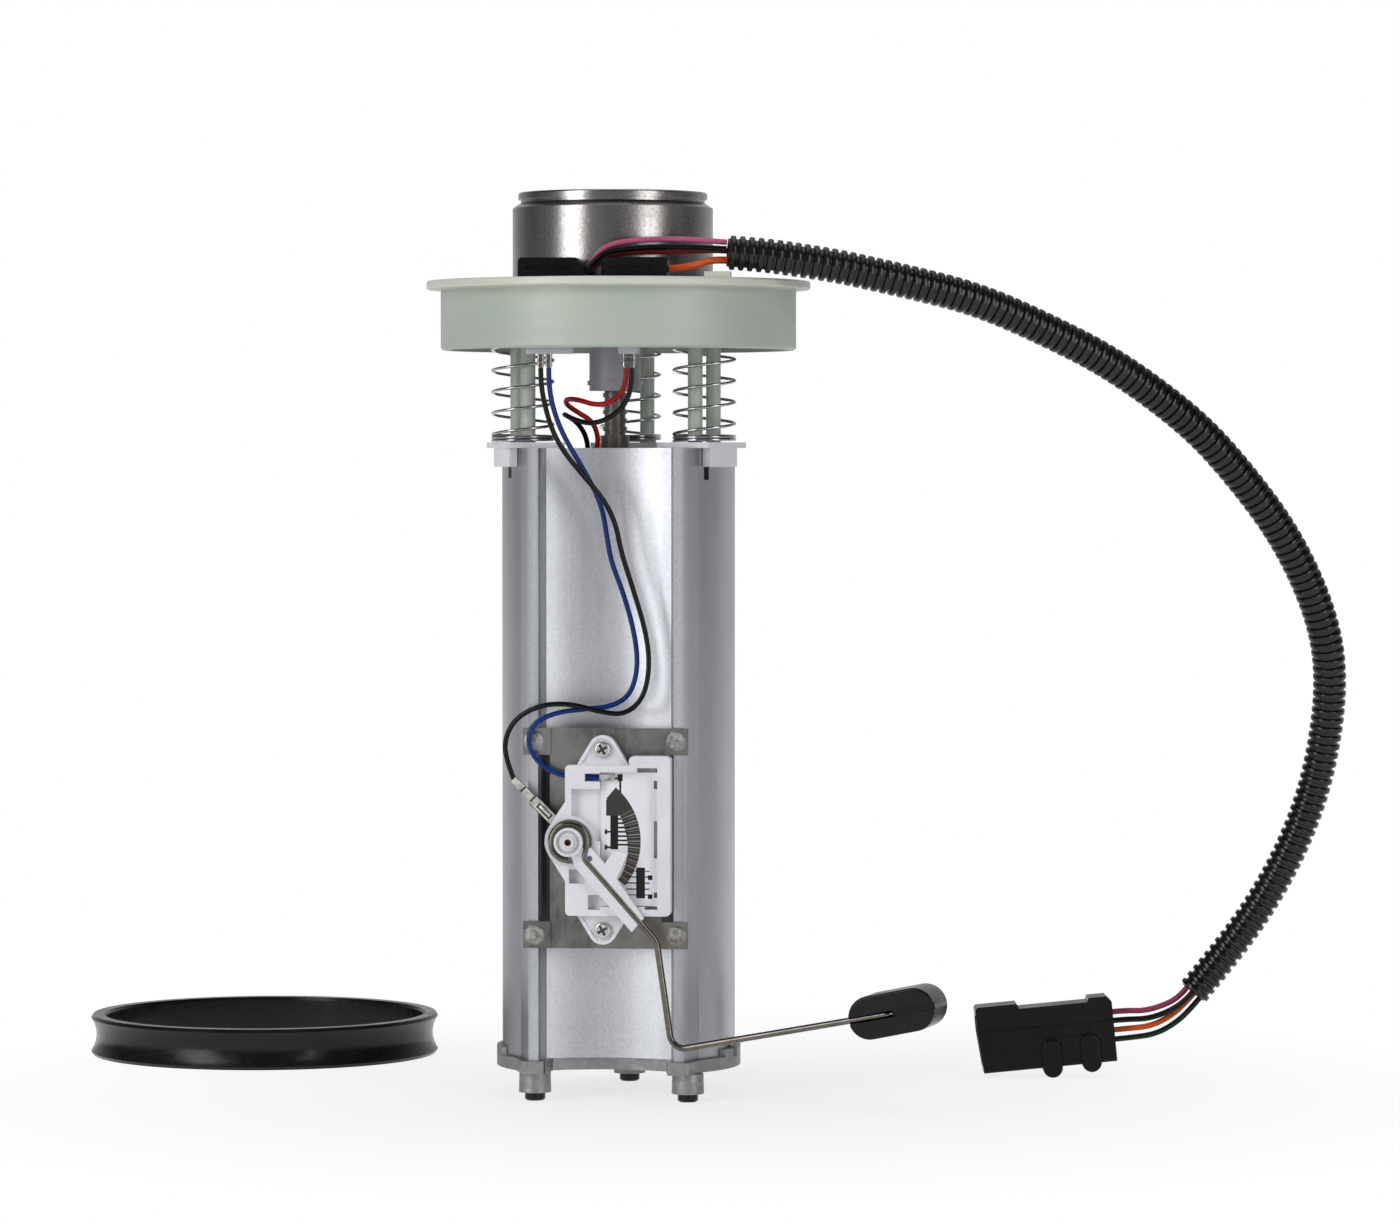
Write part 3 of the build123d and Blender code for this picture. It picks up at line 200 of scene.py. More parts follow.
def drawnMetal(name, color, second, roughness, stretch, scale=260.0, depth=0.00003, stains=14.0):
    # Drawn or brushed metal: streaks along one direction over slow cloudy marks
    finish = Finish(name, color, roughness, 1.0)
    streak = finish.noise(scale, stretch, detail=5.0)
    cloud = finish.noise(stains, detail=5.0, rough=0.6)
    mixed = finish.spread(streak * 0.45 + cloud * 0.55, 0, 1, 0.36, 0.64)
    finish.feed("Base Color", finish.blend(mixed, color, second))
    gloss = streak * 0.5 + cloud * 0.5
    finish.feed("Roughness", finish.spread(gloss, roughness - 0.06, roughness + 0.10))
    finish.feed("Normal", finish.bump(streak, depth))
    return finish.material


def castMetal(name, color, second, roughness, scale=420.0, depth=0.00022, metallic=0.75):
    # Cast or plated alloy: pits and grains over grey patches
    finish = Finish(name, color, roughness, metallic)
    grain = finish.noise(scale, detail=6.0, rough=0.7)
    patch = finish.noise(60.0, detail=5.0, rough=0.6)
    mixed = finish.spread(grain * 0.5 + patch * 0.5, 0, 1)
    finish.feed("Base Color", finish.blend(mixed, color, second))
    finish.feed("Roughness", finish.spread(grain, roughness - 0.12, roughness + 0.14))
    finish.feed("Normal", finish.bump(grain, depth, under=finish.bump(patch, depth * 2)))
    return finish.material


def insulation(name, color):
    # Thin glossy lead cover with faint scuffs
    finish = Finish(name, color, 0.22, 0.0, Specular_IOR_Level=0.2)
    fine = finish.noise(700.0, detail=3.0)
    scuffed = tuple(c * 0.72 for c in color)
    patches = finish.spread(finish.noise(90.0), 0, 1)
    finish.feed("Base Color", finish.blend(patches, color, scuffed))
    finish.feed("Roughness", finish.spread(fine, 0.15, 0.28))
    finish.feed("Normal", finish.bump(fine, 0.00002))
    return finish.material


print("shader helpers ready")

flangeLook = {
    "skirt": tone(184, 192, 181),
    "skirtShade": tone(173, 184, 174),
    "rim": tone(210, 212, 200),
    "rimBottom": -0.4 * mm,
}


def flangeMoulding():
    # Pale green moulding with flow streaks round the skirt, and a creamier rim
    finish = Finish("paleGreenMoulding", flangeLook["skirt"], 0.4)
    height = finish.axes()[2]
    cloud = finish.noise(16.0, detail=4.0)
    streak = finish.noise(120.0, (0.25, 0.25, 1.6), detail=5.0)
    fine = finish.noise(800.0, detail=2.0)
    flow = finish.spread(cloud * 0.5 + streak * 0.5, 0, 1)
    skirt = finish.blend(flow, flangeLook["skirt"], flangeLook["skirtShade"])
    isRim = height > flangeLook["rimBottom"]
    finish.feed("Base Color", finish.blend(isRim, skirt, flangeLook["rim"]))
    finish.feed("Roughness", finish.spread(streak, 0.34, 0.5))
    finish.feed("Normal", finish.bump(fine, 0.00003, under=finish.bump(streak, 0.00005)))
    return finish.material


canLook = {
    "bright": (0.35, 0.336, 0.334),
    "dull": (0.185, 0.177, 0.173),
    "drawLine": (0.48, 0.465, 0.45),
}


def drawnStainless():
    # Deep-drawn stainless sheet: fine speckle, cloudy marks and a few vertical draw lines
    finish = Finish("drawnStainless", canLook["bright"], 0.2, 1.0)
    speckle = finish.noise(900.0, detail=4.0, rough=0.7)
    cloud = finish.noise(34.0, detail=6.0, rough=0.65)
    draw = finish.noise(140.0, (1, 1, 0.06), detail=4.0)
    worn = finish.spread(speckle * 0.35 + cloud * 0.65, 0, 1, 0.38, 0.62)
    base = finish.blend(worn, canLook["bright"], canLook["dull"])
    finish.feed("Base Color", finish.blend(finish.spread(draw, 0, 0.35), base, canLook["drawLine"]))
    finish.feed("Roughness", finish.spread(cloud * 0.6 + speckle * 0.4, 0.18, 0.31))
    finish.feed("Normal", finish.bump(speckle, 0.00004, under=finish.bump(draw, 0.00003)))
    return finish.material


bodyLook = {
    "clean": (0.61, 0.622, 0.662),
    "smudged": (0.37, 0.38, 0.42),
    "shadedWalls": (0.255, 0.252, 0.285),
    "line": (0.63, 0.64, 0.67),
    "speckle": (0.30, 0.30, 0.32),
    "nick": (0.24, 0.24, 0.25),
    "slotShade": (0.02, 0.02, 0.02),
    "slotHalfWidth": 0.75 * mm,
    "slots": [(-36.1 * mm, -66.5 * mm, -62.7 * mm), (33.8 * mm, -67.2 * mm, -62.3 * mm)],
    "frontOf": -10 * mm,
    "rails": (26 * mm, 29 * mm),
    "wallFade": (33 * mm, 40 * mm),
}


def extrudedAluminium():
    # Lines along the extrusion, smudges, nicks, painted shade on the side walls outside the rails,
    # and painted shade in two slots below the seats
    look = bodyLook
    finish = Finish("extrudedAluminium", look["clean"], 0.3, 1.0)
    x, y, z = finish.axes()
    lines = finish.noise(900.0, (1, 1, 0.012), detail=4.0)
    bands = finish.noise(60.0, (1, 1, 0.05), detail=3.0)
    smudge = finish.noise(15.0, (1, 1, 0.5), detail=6.0, rough=0.62)
    speckle = finish.noise(1100.0, detail=5.0, rough=0.75)
    cells = finish.node("ShaderNodeTexVoronoi", {"feature": "F1"}, {
        "Vector": finish.mapped((1, 1, 0.6)), "Scale": 130.0})
    pits = finish.spread(cells, 1.0, 0.0, 0.0, 0.09) * finish.spread(smudge, 0, 1, 0.55, 0.62)
    fromRails = finish.spread(abs(x), 0, 1, *look["rails"])
    # Painted shade: the side walls outside the rails are darkened
    wallShade = fromRails * finish.spread(abs(x), 0.6, 0.25, *look["wallFade"])
    # Painted shade: two slots below the seats are painted nearly black on the front
    slots = 0
    for across, low, high in look["slots"]:
        wide = between(x, across - look["slotHalfWidth"], across + look["slotHalfWidth"])
        slots = slots + wide * between(z, low, high) * (y < look["frontOf"])
    shade = finish.blend(finish.spread(smudge, 0, 1, 0.35, 0.68), look["clean"], look["smudged"])
    shade = finish.blend(finish.spread(bands * 0.5 + lines * 0.5, 0, 0.8), shade, look["line"])
    # Painted shade darkens the side walls
    shade = finish.blend(wallShade, shade, look["shadedWalls"])
    shade = finish.blend(finish.spread(speckle, 0, 0.3, 0.42, 0.62), shade, look["speckle"])
    shade = finish.blend(pits, shade, look["nick"])
    finish.feed("Base Color", finish.blend(slots, shade, look["slotShade"]))
    finish.feed("Roughness", finish.spread(lines * 0.4 + smudge * 0.6, 0.35, 0.49))
    dents = finish.bump(1 - (pits | slots), 0.00012)
    finish.feed("Normal", finish.bump(lines, 0.00002, under=dents))
    return finish.material


sender = {
    "pivot": (-11.7 * mm, -192.8 * mm),
    "screws": {
        "across": -0.6 * mm, "middle": -192.4 * mm, "half": 31.5 * mm,
        "recess": 2.1 * mm, "recessFrom": 0.3 * mm,
    },
    "tabs": {
        "across": 24.9 * mm, "middle": -192.1 * mm, "half": 33.9 * mm,
        "spot": (3.0 * mm, 4.2 * mm), "tint": (-232 * mm, -205 * mm),
    },
    "terminal": {
        "centre": (-20.9 * mm, -182.4 * mm), "slot": (3.2 * mm, 1.05 * mm),
        "lance": (2.5 * mm, 0.5 * mm), "edge": 1.7 * mm,
        "gaps": [(-6.2 * mm, -5.5 * mm), (-11.0 * mm, -10.3 * mm)],
        "diagonal": 0.7071,
    },
    "hubGroove": (3.1 * mm, 4.2 * mm),
    "dot": (7.3 * mm, -5.7 * mm),
    "dotRadius": 1.15 * mm,
    "pinBore": 1.15 * mm,
    "pinStain": (1.1 * mm, 2.3 * mm),
}

# Print on the resistor card: degrees round the pivot, and bars as left, right, bottom and top in
# millimetres from the pivot
cardPrint = {
    "bandOuter": 24.5 * mm,
    "bandInner": (21.4 * mm, 19.4 * mm),
    "bandFrom": -39.0,
    "bandTo": 50.0,
    "headLeft": 12.4 * mm,
    "headBottom": 8.9 * mm,
    "headSlope": 1.32,
    "headTop": -2.2 * mm,
    "cutStep": 5.8,
    "cutShare": 0.09,
    "cutTo": 27.0,
    "fineShift": 2.2,
    "fineShare": 0.04,
    "fineFrom": -20.0,
    "rungStep": (1.5 * mm, 0.42),
    "lowRungStep": (2.1 * mm, 0.2),
    "ladder": (13.9, 16.6, -2.8, 9.6),
    "rungs": (16.5, 20.6, -2.4, 8.4),
    "nubs": [
        (12.2, 14.2, 3.0, 3.6), (11.9, 12.8, 2.5, 4.1), (12.2, 14.2, -2.4, -1.8),
        (11.9, 12.8, -2.9, -1.3),
    ],
    "lower": (22.9, 26.0, -19.8, -9.1),
    "lowRungs": (19.6, 27.6, -18.8, -10.2),
    "pads": [(27.0, 28.6, -13.4, -11.8), (27.0, 28.6, -20.0, -18.4)],
    "trace": [(12.6, 17.6, 21.6, 22.2), (17.0, 17.7, 14.9, 23.2), (16.4, 18.2, 21.0, 23.4)],
    "strip": [(30.2, 31.8, -5.2, 7.4), (30.2, 31.8, 19.0, 22.6), (30.2, 31.8, -22.6, -18.6)],
    "edge": (29.6, 30.1, -23.0, 23.0),
    "pale": (30.2, 31.8, -22.0, 22.0),
    "bandShade": ((0.10, 0.075, 0.06), (0.045, 0.043, 0.042)),
}


def aroundPivot(finish):
    # Distances from the pivot pin, seen from the front
    x, _, z = finish.axes()
    dx = x - sender["pivot"][0]
    dz = z - sender["pivot"][1]
    return dx, dz, (dx * dx + dz * dz) ** 0.5


def printedCard():
    # Thick-film resistor: a cut arc band with a solid head, two trimming ladders, pads and a strip
    finish = Finish("printedCard", tone(238, 238, 243), 0.4, Specular_IOR_Level=0.25)
    dx, dz, radius = aroundPivot(finish)
    angle = finish.node("ShaderNodeMath", {"operation": "ARCTAN2"}, {0: dz, 1: dx}) * (180 / math.pi)
    bandFrom = cardPrint["bandFrom"]
    bandOuter = cardPrint["bandOuter"]

    def bar(left, right, bottom, top):
        return between(dx, left * mm, right * mm) & between(dz, bottom * mm, top * mm)

    def bars(name):
        return anyOf([bar(*place) for place in cardPrint[name]])

    def repeat(value, step, share):
        # 40 whole steps are added, so that the value is above nought
        return finish.node("ShaderNodeMath", {"operation": "FRACT"}, {0: value / step + 40}) < share

    inner = finish.spread(angle, *cardPrint["bandInner"], bandFrom, 10)
    band = (radius > inner) & (radius < bandOuter)
    band = band & between(angle, bandFrom, cardPrint["bandTo"])
    head = (dx > cardPrint["headLeft"]) & (dz > cardPrint["headBottom"]) & (radius < bandOuter)
    head = head & ((dz - dx * cardPrint["headSlope"]) < cardPrint["headTop"])
    cuts = repeat(angle, cardPrint["cutStep"], cardPrint["cutShare"])
    cuts = cuts & between(angle, bandFrom, cardPrint["cutTo"])
    fineCuts = repeat(angle + cardPrint["fineShift"], cardPrint["cutStep"], cardPrint["fineShare"])
    fineCuts = fineCuts & between(angle, cardPrint["fineFrom"], cardPrint["cutTo"])
    rungs = bar(*cardPrint["rungs"]) & repeat(dz, *cardPrint["rungStep"])
    lowRungs = bar(*cardPrint["lowRungs"]) & repeat(dz, *cardPrint["lowRungStep"])
    ink = anyOf([
        head, bar(*cardPrint["ladder"]), rungs, bars("nubs"), bar(*cardPrint["lower"]), lowRungs,
        bars("pads"), bars("trace")])
    grain = finish.noise(1400.0, detail=2.0)
    cloud = finish.spread(finish.noise(40.0), 0, 1)
    bandShade = finish.blend(finish.spread(angle, 0, 1, -40, -5), *cardPrint["bandShade"])
    base = finish.blend(cloud, tone(240, 240, 245), tone(228, 229, 235))
    base = finish.blend(bar(*cardPrint["pale"]) * 0.5, base, tone(190, 192, 200))
    base = finish.blend(bar(*cardPrint["edge"]) * 0.7, base, tone(60, 60, 62))
    base = finish.blend(bars("strip"), base, (0.05, 0.05, 0.05))
    base = finish.blend(band, base, bandShade)
    base = finish.blend(ink, base, (0.008, 0.008, 0.008))
    base = finish.blend(head, base, cardPrint["bandShade"][1])
    finish.feed("Base Color", finish.blend((cuts | fineCuts) & band, base, tone(176, 170, 165)))
    finish.feed("Roughness", finish.spread(grain, 0.3, 0.5) - (ink | band) * 0.05)
    finish.feed("Normal", finish.bump(band | ink, 0.00006, under=finish.bump(grain, 0.00001)))
    return finish.material


def stakedPlate():
    # Zinc-plated bracket: rolled grain, cloudy dull patches, brown tint and struck spots on its tabs
    finish = Finish("stakedPlate", (0.27, 0.26, 0.25), 0.42, 1.0)
    x, _, z = finish.axes()
    tabs = sender["tabs"]
    across = abs(x) - tabs["across"]
    level = abs(z - tabs["middle"]) - tabs["half"]
    reach = (across * across + level * level) ** 0.5
    ragged = reach + finish.noise(300.0) * 0.0012
    spot = finish.spread(ragged, 1.0, 0.0, *tabs["spot"])
    rough = finish.noise(520.0, detail=7.0, rough=0.75)
    wide = finish.noise(30.0, detail=7.0, rough=0.68)
    rolled = finish.noise(420.0, (1, 1, 0.2), detail=4.0)
    tint = finish.spread(z, 0.3, 0, *tabs["tint"]) * finish.spread(x, 0, 1, -10 * mm, 20 * mm)
    dull = finish.spread(wide, 0, 1, 0.40, 0.60)
    pitted = finish.spread(rough, 0, 1, 0.40, 0.60)
    plain = finish.blend(dull, (0.23, 0.23, 0.225), (0.08, 0.08, 0.078))
    plain = finish.blend(finish.spread(rolled, 0, 0.4), plain, (0.28, 0.28, 0.275))
    plain = finish.blend(tint, plain, (0.22, 0.17, 0.12))
    struck = finish.blend(pitted, (0.46, 0.455, 0.44), (0.16, 0.155, 0.145))
    finish.feed("Base Color", finish.blend(spot * 0.8, plain, struck))
    finish.feed("Roughness", finish.spread(wide, 0.32, 0.5))
    finish.feed("Normal", finish.bump(rough * spot, 0.0006, under=finish.bump(rolled, 0.00004)))
    return finish.material


def wiperAcetal():
    # White acetal with a grey ring of painted shade in the hub's groove and one dot of marking ink
    finish = Finish("wiperAcetal", tone(234, 234, 240), 0.34)
    dx, dz, radius = aroundPivot(finish)
    cloud = finish.noise(60.0, detail=4.0)
    ragged = finish.noise(900.0) * 0.0000008
    grooveShade = between(radius, *sender["hubGroove"])
    dotX = dx - sender["dot"][0]
    dotZ = dz - sender["dot"][1]
    dot = (dotX * dotX + dotZ * dotZ + ragged) ** 0.5 < sender["dotRadius"]
    base = finish.blend(finish.spread(cloud, 0, 1), tone(236, 236, 242), tone(220, 221, 229))
    # Painted shade: the hub's groove is greyed
    base = finish.blend(grooveShade * 0.5, base, tone(168, 164, 166))
    finish.feed("Base Color", finish.blend(dot * 0.9, base, tone(34, 34, 104)))
    finish.feed("Roughness", finish.spread(cloud, 0.28, 0.42))
    finish.feed("Normal", finish.bump(finish.noise(1100.0, detail=2.0), 0.00003))
    return finish.material


def housingAcetal():
    # Slightly translucent white acetal; the pin's end has a brown bore
    finish = Finish("housingAcetal", tone(232, 232, 238), 0.34)
    radius = aroundPivot(finish)[2]
    cloud = finish.noise(34.0, detail=4.0)
    base = finish.blend(finish.spread(cloud, 0, 1), tone(236, 236, 241), tone(214, 216, 224))
    pin = finish.spread(radius, 1.0, 0.0, *sender["pinStain"])
    base = finish.blend(pin * 0.7, base, tone(196, 168, 146))
    finish.feed("Base Color", finish.blend(radius < sender["pinBore"], base, tone(110, 70, 46)))
    finish.feed("Roughness", finish.spread(cloud, 0.28, 0.44))
    finish.feed("Normal", finish.bump(finish.noise(900.0, detail=2.0), 0.00003))
    return finish.material


def screwHead():
    # Zinc-plated heads with painted shade in their cross recesses
    finish = Finish("screwHead", (0.66, 0.655, 0.64), 0.3, 1.0)
    x, y, z = finish.axes()
    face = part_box("sender_screw_upper")[0][1]
    screws = sender["screws"]
    across = x - screws["across"]
    level = abs(z - screws["middle"]) - screws["half"]
    reach = (across * across + level * level) ** 0.5
    # Painted shade: the cross recesses are darkened nearly to black
    recess = (reach < screws["recess"]) & (y > face + screws["recessFrom"])
    grain = finish.noise(300.0, detail=4.0)
    base = finish.blend(finish.spread(grain, 0, 1), (0.72, 0.715, 0.70), (0.42, 0.41, 0.39))
    finish.feed("Base Color", finish.blend(recess * 0.9, base, (0.03, 0.03, 0.03)))
    finish.feed("Roughness", finish.spread(grain, 0.22, 0.36))
    finish.feed("Normal", finish.bump(grain, 0.00003))
    return finish.material


def crimpTerminal():
    # Tinned crimp: painted shade in a slot round its lance, in the gaps between the barrels and
    # along the long edges
    finish = Finish("crimpTerminal", (0.74, 0.72, 0.68), 0.18, 1.0)
    x, _, z = finish.axes()
    terminal = sender["terminal"]
    dx = x - terminal["centre"][0]
    dz = z - terminal["centre"][1]
    # Distances along and across the terminal, which points down and to the right at 45 degrees
    along = (dx - dz) * terminal["diagonal"]
    across = abs(dx + dz) * terminal["diagonal"]

    def inside(halfLength, halfWidth):
        return (abs(along) < halfLength) & (across < halfWidth)

    gaps = anyOf([between(along, low, high) for low, high in terminal["gaps"]])
    ring = inside(*terminal["slot"]) - inside(*terminal["lance"])
    # Painted shade on the slot, the gaps and the long edges
    paintedShade = ring | gaps | (across > terminal["edge"])
    grain = finish.noise(300.0, detail=4.0)
    base = finish.blend(finish.spread(grain, 0, 1), (0.80, 0.78, 0.74), (0.36, 0.345, 0.32))
    finish.feed("Base Color", finish.blend(paintedShade * 0.9, base, (0.02, 0.02, 0.02)))
    finish.feed("Roughness", finish.spread(grain, 0.12, 0.24))
    finish.feed("Normal", finish.bump(grain, 0.00003))
    return finish.material


def floatFoam():
    # Closed-cell nitrile foam: a dark skin with fine pores
    finish = Finish("floatFoam", (0.01, 0.01, 0.012), 0.3, Specular_IOR_Level=0.22)
    pores = finish.noise(1500.0, detail=4.0, rough=0.7)
    cloud = finish.noise(70.0, detail=3.0)
    mixed = finish.spread(pores * 0.6 + cloud * 0.4, 0, 1)
    finish.feed("Base Color", finish.blend(mixed, (0.004, 0.004, 0.005), (0.010, 0.010, 0.012)))
    finish.feed("Roughness", finish.spread(cloud, 0.18, 0.30))
    finish.feed("Normal", finish.bump(pores, 0.00005))
    return finish.material


finishes = {
    "flange": flangeMoulding(),
    "stainless": drawnStainless(),
    "black": mouldedPlastic(
        "blackNylon", (0.0045, 0.0045, 0.005), (0.008, 0.008, 0.009), 0.26, patches=60,
        Specular_IOR_Level=0.15),
    "rubber": mouldedPlastic(
        "blackRubber", (0.004, 0.004, 0.0045), (0.009, 0.009, 0.010), 0.24, grain=320, patches=40,
        Specular_IOR_Level=0.28),
    "lightGrey": mouldedPlastic("lightGreyNylon", tone(205, 206, 208), tone(190, 190, 194), 0.42),
    "grey": mouldedPlastic(
        "greyAcetal", tone(162, 159, 167), tone(150, 147, 155), 0.42, patches=40),
    "white": mouldedPlastic(
        "whiteAcetal", tone(232, 232, 238), tone(218, 219, 227), 0.34, patches=30),
    "tin": drawnMetal(
        "tinPlate", (0.78, 0.76, 0.72), (0.06, 0.055, 0.05), 0.14, (1, 1, 3), scale=300,
        stains=330),
    "zinc": castMetal(
        "zincPlate", (0.66, 0.655, 0.64), (0.32, 0.31, 0.295), 0.30, scale=260, depth=0.00004,
        metallic=1.0),
    "steel": drawnMetal(
        "armSteel", (0.18, 0.165, 0.148), (0.11, 0.10, 0.088), 0.16, (1, 1, 1), scale=300,
        depth=0.00001, stains=60),
    "spring": drawnMetal(
        "springSteel", (0.54, 0.54, 0.55), (0.26, 0.26, 0.27), 0.14, (1, 1, 1), scale=600,
        stains=120),
    "cast": castMetal("castBase", (0.36, 0.36, 0.37), (0.19, 0.19, 0.20), 0.46),
    "copper": drawnMetal(
        "copperWinding", (0.72, 0.34, 0.18), (0.45, 0.20, 0.10), 0.35, (30, 30, 1), scale=60),
    "ferrite": castMetal("ferrite", (0.08, 0.08, 0.085), (0.05, 0.05, 0.05), 0.6, metallic=0.2),
    "paper": mouldedPlastic(
        "filterPaper", tone(226, 205, 150), tone(205, 180, 120), 0.8, grain=400, depth=0.0002),
    "cloth": mouldedPlastic(
        "strainerCloth", tone(226, 226, 218), tone(205, 205, 196), 0.7, grain=1200, depth=0.0003),
    "tube": mouldedPlastic("ribbedTube", tone(122, 114, 106), tone(84, 78, 73), 0.28, patches=150),
    "loom": mouldedPlastic(
        "loomPolymer", (0.005, 0.005, 0.006), (0.010, 0.010, 0.012), 0.22, grain=500, patches=30,
        Specular_IOR_Level=0.38),
    "wireBlack": insulation("wireBlack", (0.004, 0.004, 0.005)),
    "wireBlue": insulation("wireBlue", tone(22, 54, 126)),
    "wireRed": insulation("wireRed", tone(158, 22, 24)),
    "wirePink": insulation("wirePink", tone(192, 98, 130)),
    "wirePurple": insulation("wirePurple", tone(150, 62, 92)),
    "wireDarkRed": insulation("wireDarkRed", tone(122, 40, 34)),
    "wireOrange": insulation("wireOrange", tone(212, 86, 34)),
    "wireGreen": insulation("wireGreen", tone(16, 44, 28)),
    "aluminium": extrudedAluminium(),
    "card": printedCard(),
    "plate": stakedPlate(),
    "wiper": wiperAcetal(),
    "housing": housingAcetal(),
    "foam": floatFoam(),
    "screw": screwHead(),
    "crimp": crimpTerminal(),
}

nodeFinish = {
    "flange": "flange", "filter_can": "stainless", "can_lid": "stainless", "can_seal": "rubber",
    "filter_element": "paper", "pressure_regulator": "zinc", "supply_nipple": "zinc",
    "connector_left": "black", "connector_right": "black", "terminal_block": "lightGrey",
    "pump_terminal_block": "lightGrey", "lead_terminals": "tin", "outlet_coupling": "grey",
    "reservoir": "aluminium", "base_casting": "cast", "foot_left": "rubber", "foot_right": "rubber",
    "foot_rear": "rubber", "pump_shell": "zinc", "pump_magnets": "ferrite",
    "pump_inlet_cap": "black", "pump_outlet_cap": "black", "pump_armature": "copper",
    "pump_impeller": "grey", "outlet_tube": "tube", "pump_cradle_lower": "rubber",
    "pump_cradle_upper": "rubber", "strainer": "cloth",
    "spring_seat_left": "white", "spring_seat_right": "white", "spring_seat_rear": "white",
    "sender_bracket": "plate", "sender_housing": "housing", "resistor_card": "card",
    "sender_screw_upper": "screw", "sender_screw_lower": "screw", "sender_terminal_black": "crimp",
    "sender_terminal_blue": "tin", "wiper": "wiper", "float_arm": "steel", "float": "foam",
    "harness_plug": "black", "tank_seal": "rubber",
}

for nodeName, finishName in nodeFinish.items():
    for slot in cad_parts[nodeName].material_slots:
        slot.material = finishes[finishName]
print("frame nodes dressed")

studio = {
    "cameraAt": (0.2378, -1.9860, -0.0574),
    "pitch": 1.632,
    "heading": 6.0,
    "lens": 144.87,
    "lamps": {
        "keyLeft": {"at": (-1.30, -1.50, 0.55), "size": (0.9, 1.9), "power": 24.0},
        "fillRight": {"at": (1.55, -1.35, 0.35), "size": (0.8, 1.9), "power": 18.0},
        "top": {"at": (0.1, 0.2, 1.7), "size": (1.6, 1.6), "power": 9.0},
    },
    "aim": (0, 0, -0.13),
    "roomFront": 0.08,
    "roomBack": 0.62,
    "roomFade": (0.35, 0.95),
    "floorSize": 14,
    "floorTones": ((0.93, 0.93, 0.93), (0.90, 0.90, 0.90)),
    "shadowCentre": 0.03,
    "shadowFrom": 0.05,
    "shadowReach": 0.30,
    "nearShare": 0.74,
}


def makeCamera():
    data = bpy.data.cameras.new("camera")
    data.lens = studio["lens"]
    data.sensor_width = 36.0
    data.clip_end = 50
    camera = bpy.data.objects.new("camera", data)
    bpy.context.collection.objects.link(camera)
    camera.location = studio["cameraAt"]
    lean = math.radians(90 - studio["pitch"])
    camera.rotation_euler = (lean, 0, math.radians(studio["heading"]))
    bpy.context.scene.camera = camera


makeCamera()
print("camera placed")


def letGo():
    for piece in bpy.context.selected_objects:
        piece.select_set(False)


def takeUp(piece):
    letGo()
    bpy.context.view_layer.objects.active = piece
    piece.select_set(True)


def settle(piece):
    # The place goes into the mesh, and the object stays at the origin
    takeUp(piece)
    bpy.ops.object.transform_apply(location=True, rotation=True, scale=True)


def applyAll(piece):
    takeUp(piece)
    for modifier in list(piece.modifiers):
        bpy.ops.object.modifier_apply(modifier=modifier.name)


def joinTo(pieces, name):
    letGo()
    for piece in pieces:
        piece.select_set(True)
    bpy.context.view_layer.objects.active = pieces[0]
    bpy.ops.object.join()
    pieces[0].name = name
    pieces[0].data.name = name
    return pieces[0]


def smooth(piece, angle=40):
    takeUp(piece)
    bpy.ops.object.shade_smooth_by_angle(angle=math.radians(angle))


def dress(piece, finish):
    piece.data.materials.clear()
    piece.data.materials.append(finishes[finish])


def routeLine(name, points):
    # Smooth line of a cord: a NURBS spline with the given points as its control points
    data = bpy.data.curves.new(name, "CURVE")
    data.dimensions = "3D"
    data.resolution_u = 10
    spline = data.splines.new("NURBS")
    spline.points.add(len(points) - 1)
    for control, point in zip(spline.points, points):
        control.co = (*[c * mm for c in point], 1)
    spline.order_u = 3
    spline.use_endpoint_u = True
    line = bpy.data.objects.new(name, data)
    bpy.context.collection.objects.link(line)
    return line


def readLine(line):
    bpy.context.view_layer.update()
    mesh = bpy.data.meshes.new_from_object(line)
    points = [v.co.copy() for v in mesh.vertices]
    bpy.data.meshes.remove(mesh)
    return points


def lengthOf(points):
    return sum((b - a).length for a, b in zip(points, points[1:]))


def roundLead(name, points, diameter):
    line = routeLine(name, points)
    path = readLine(line)
    line.data.bevel_depth = diameter / 2
    line.data.bevel_resolution = 5
    line.data.use_fill_caps = True
    takeUp(line)
    bpy.ops.object.convert(target="MESH")
    lead = bpy.context.object
    lead.name = name
    smooth(lead, 60)
    return lead, path


def declare(lead, path, diameter, **facts):
    lengthOf(path)


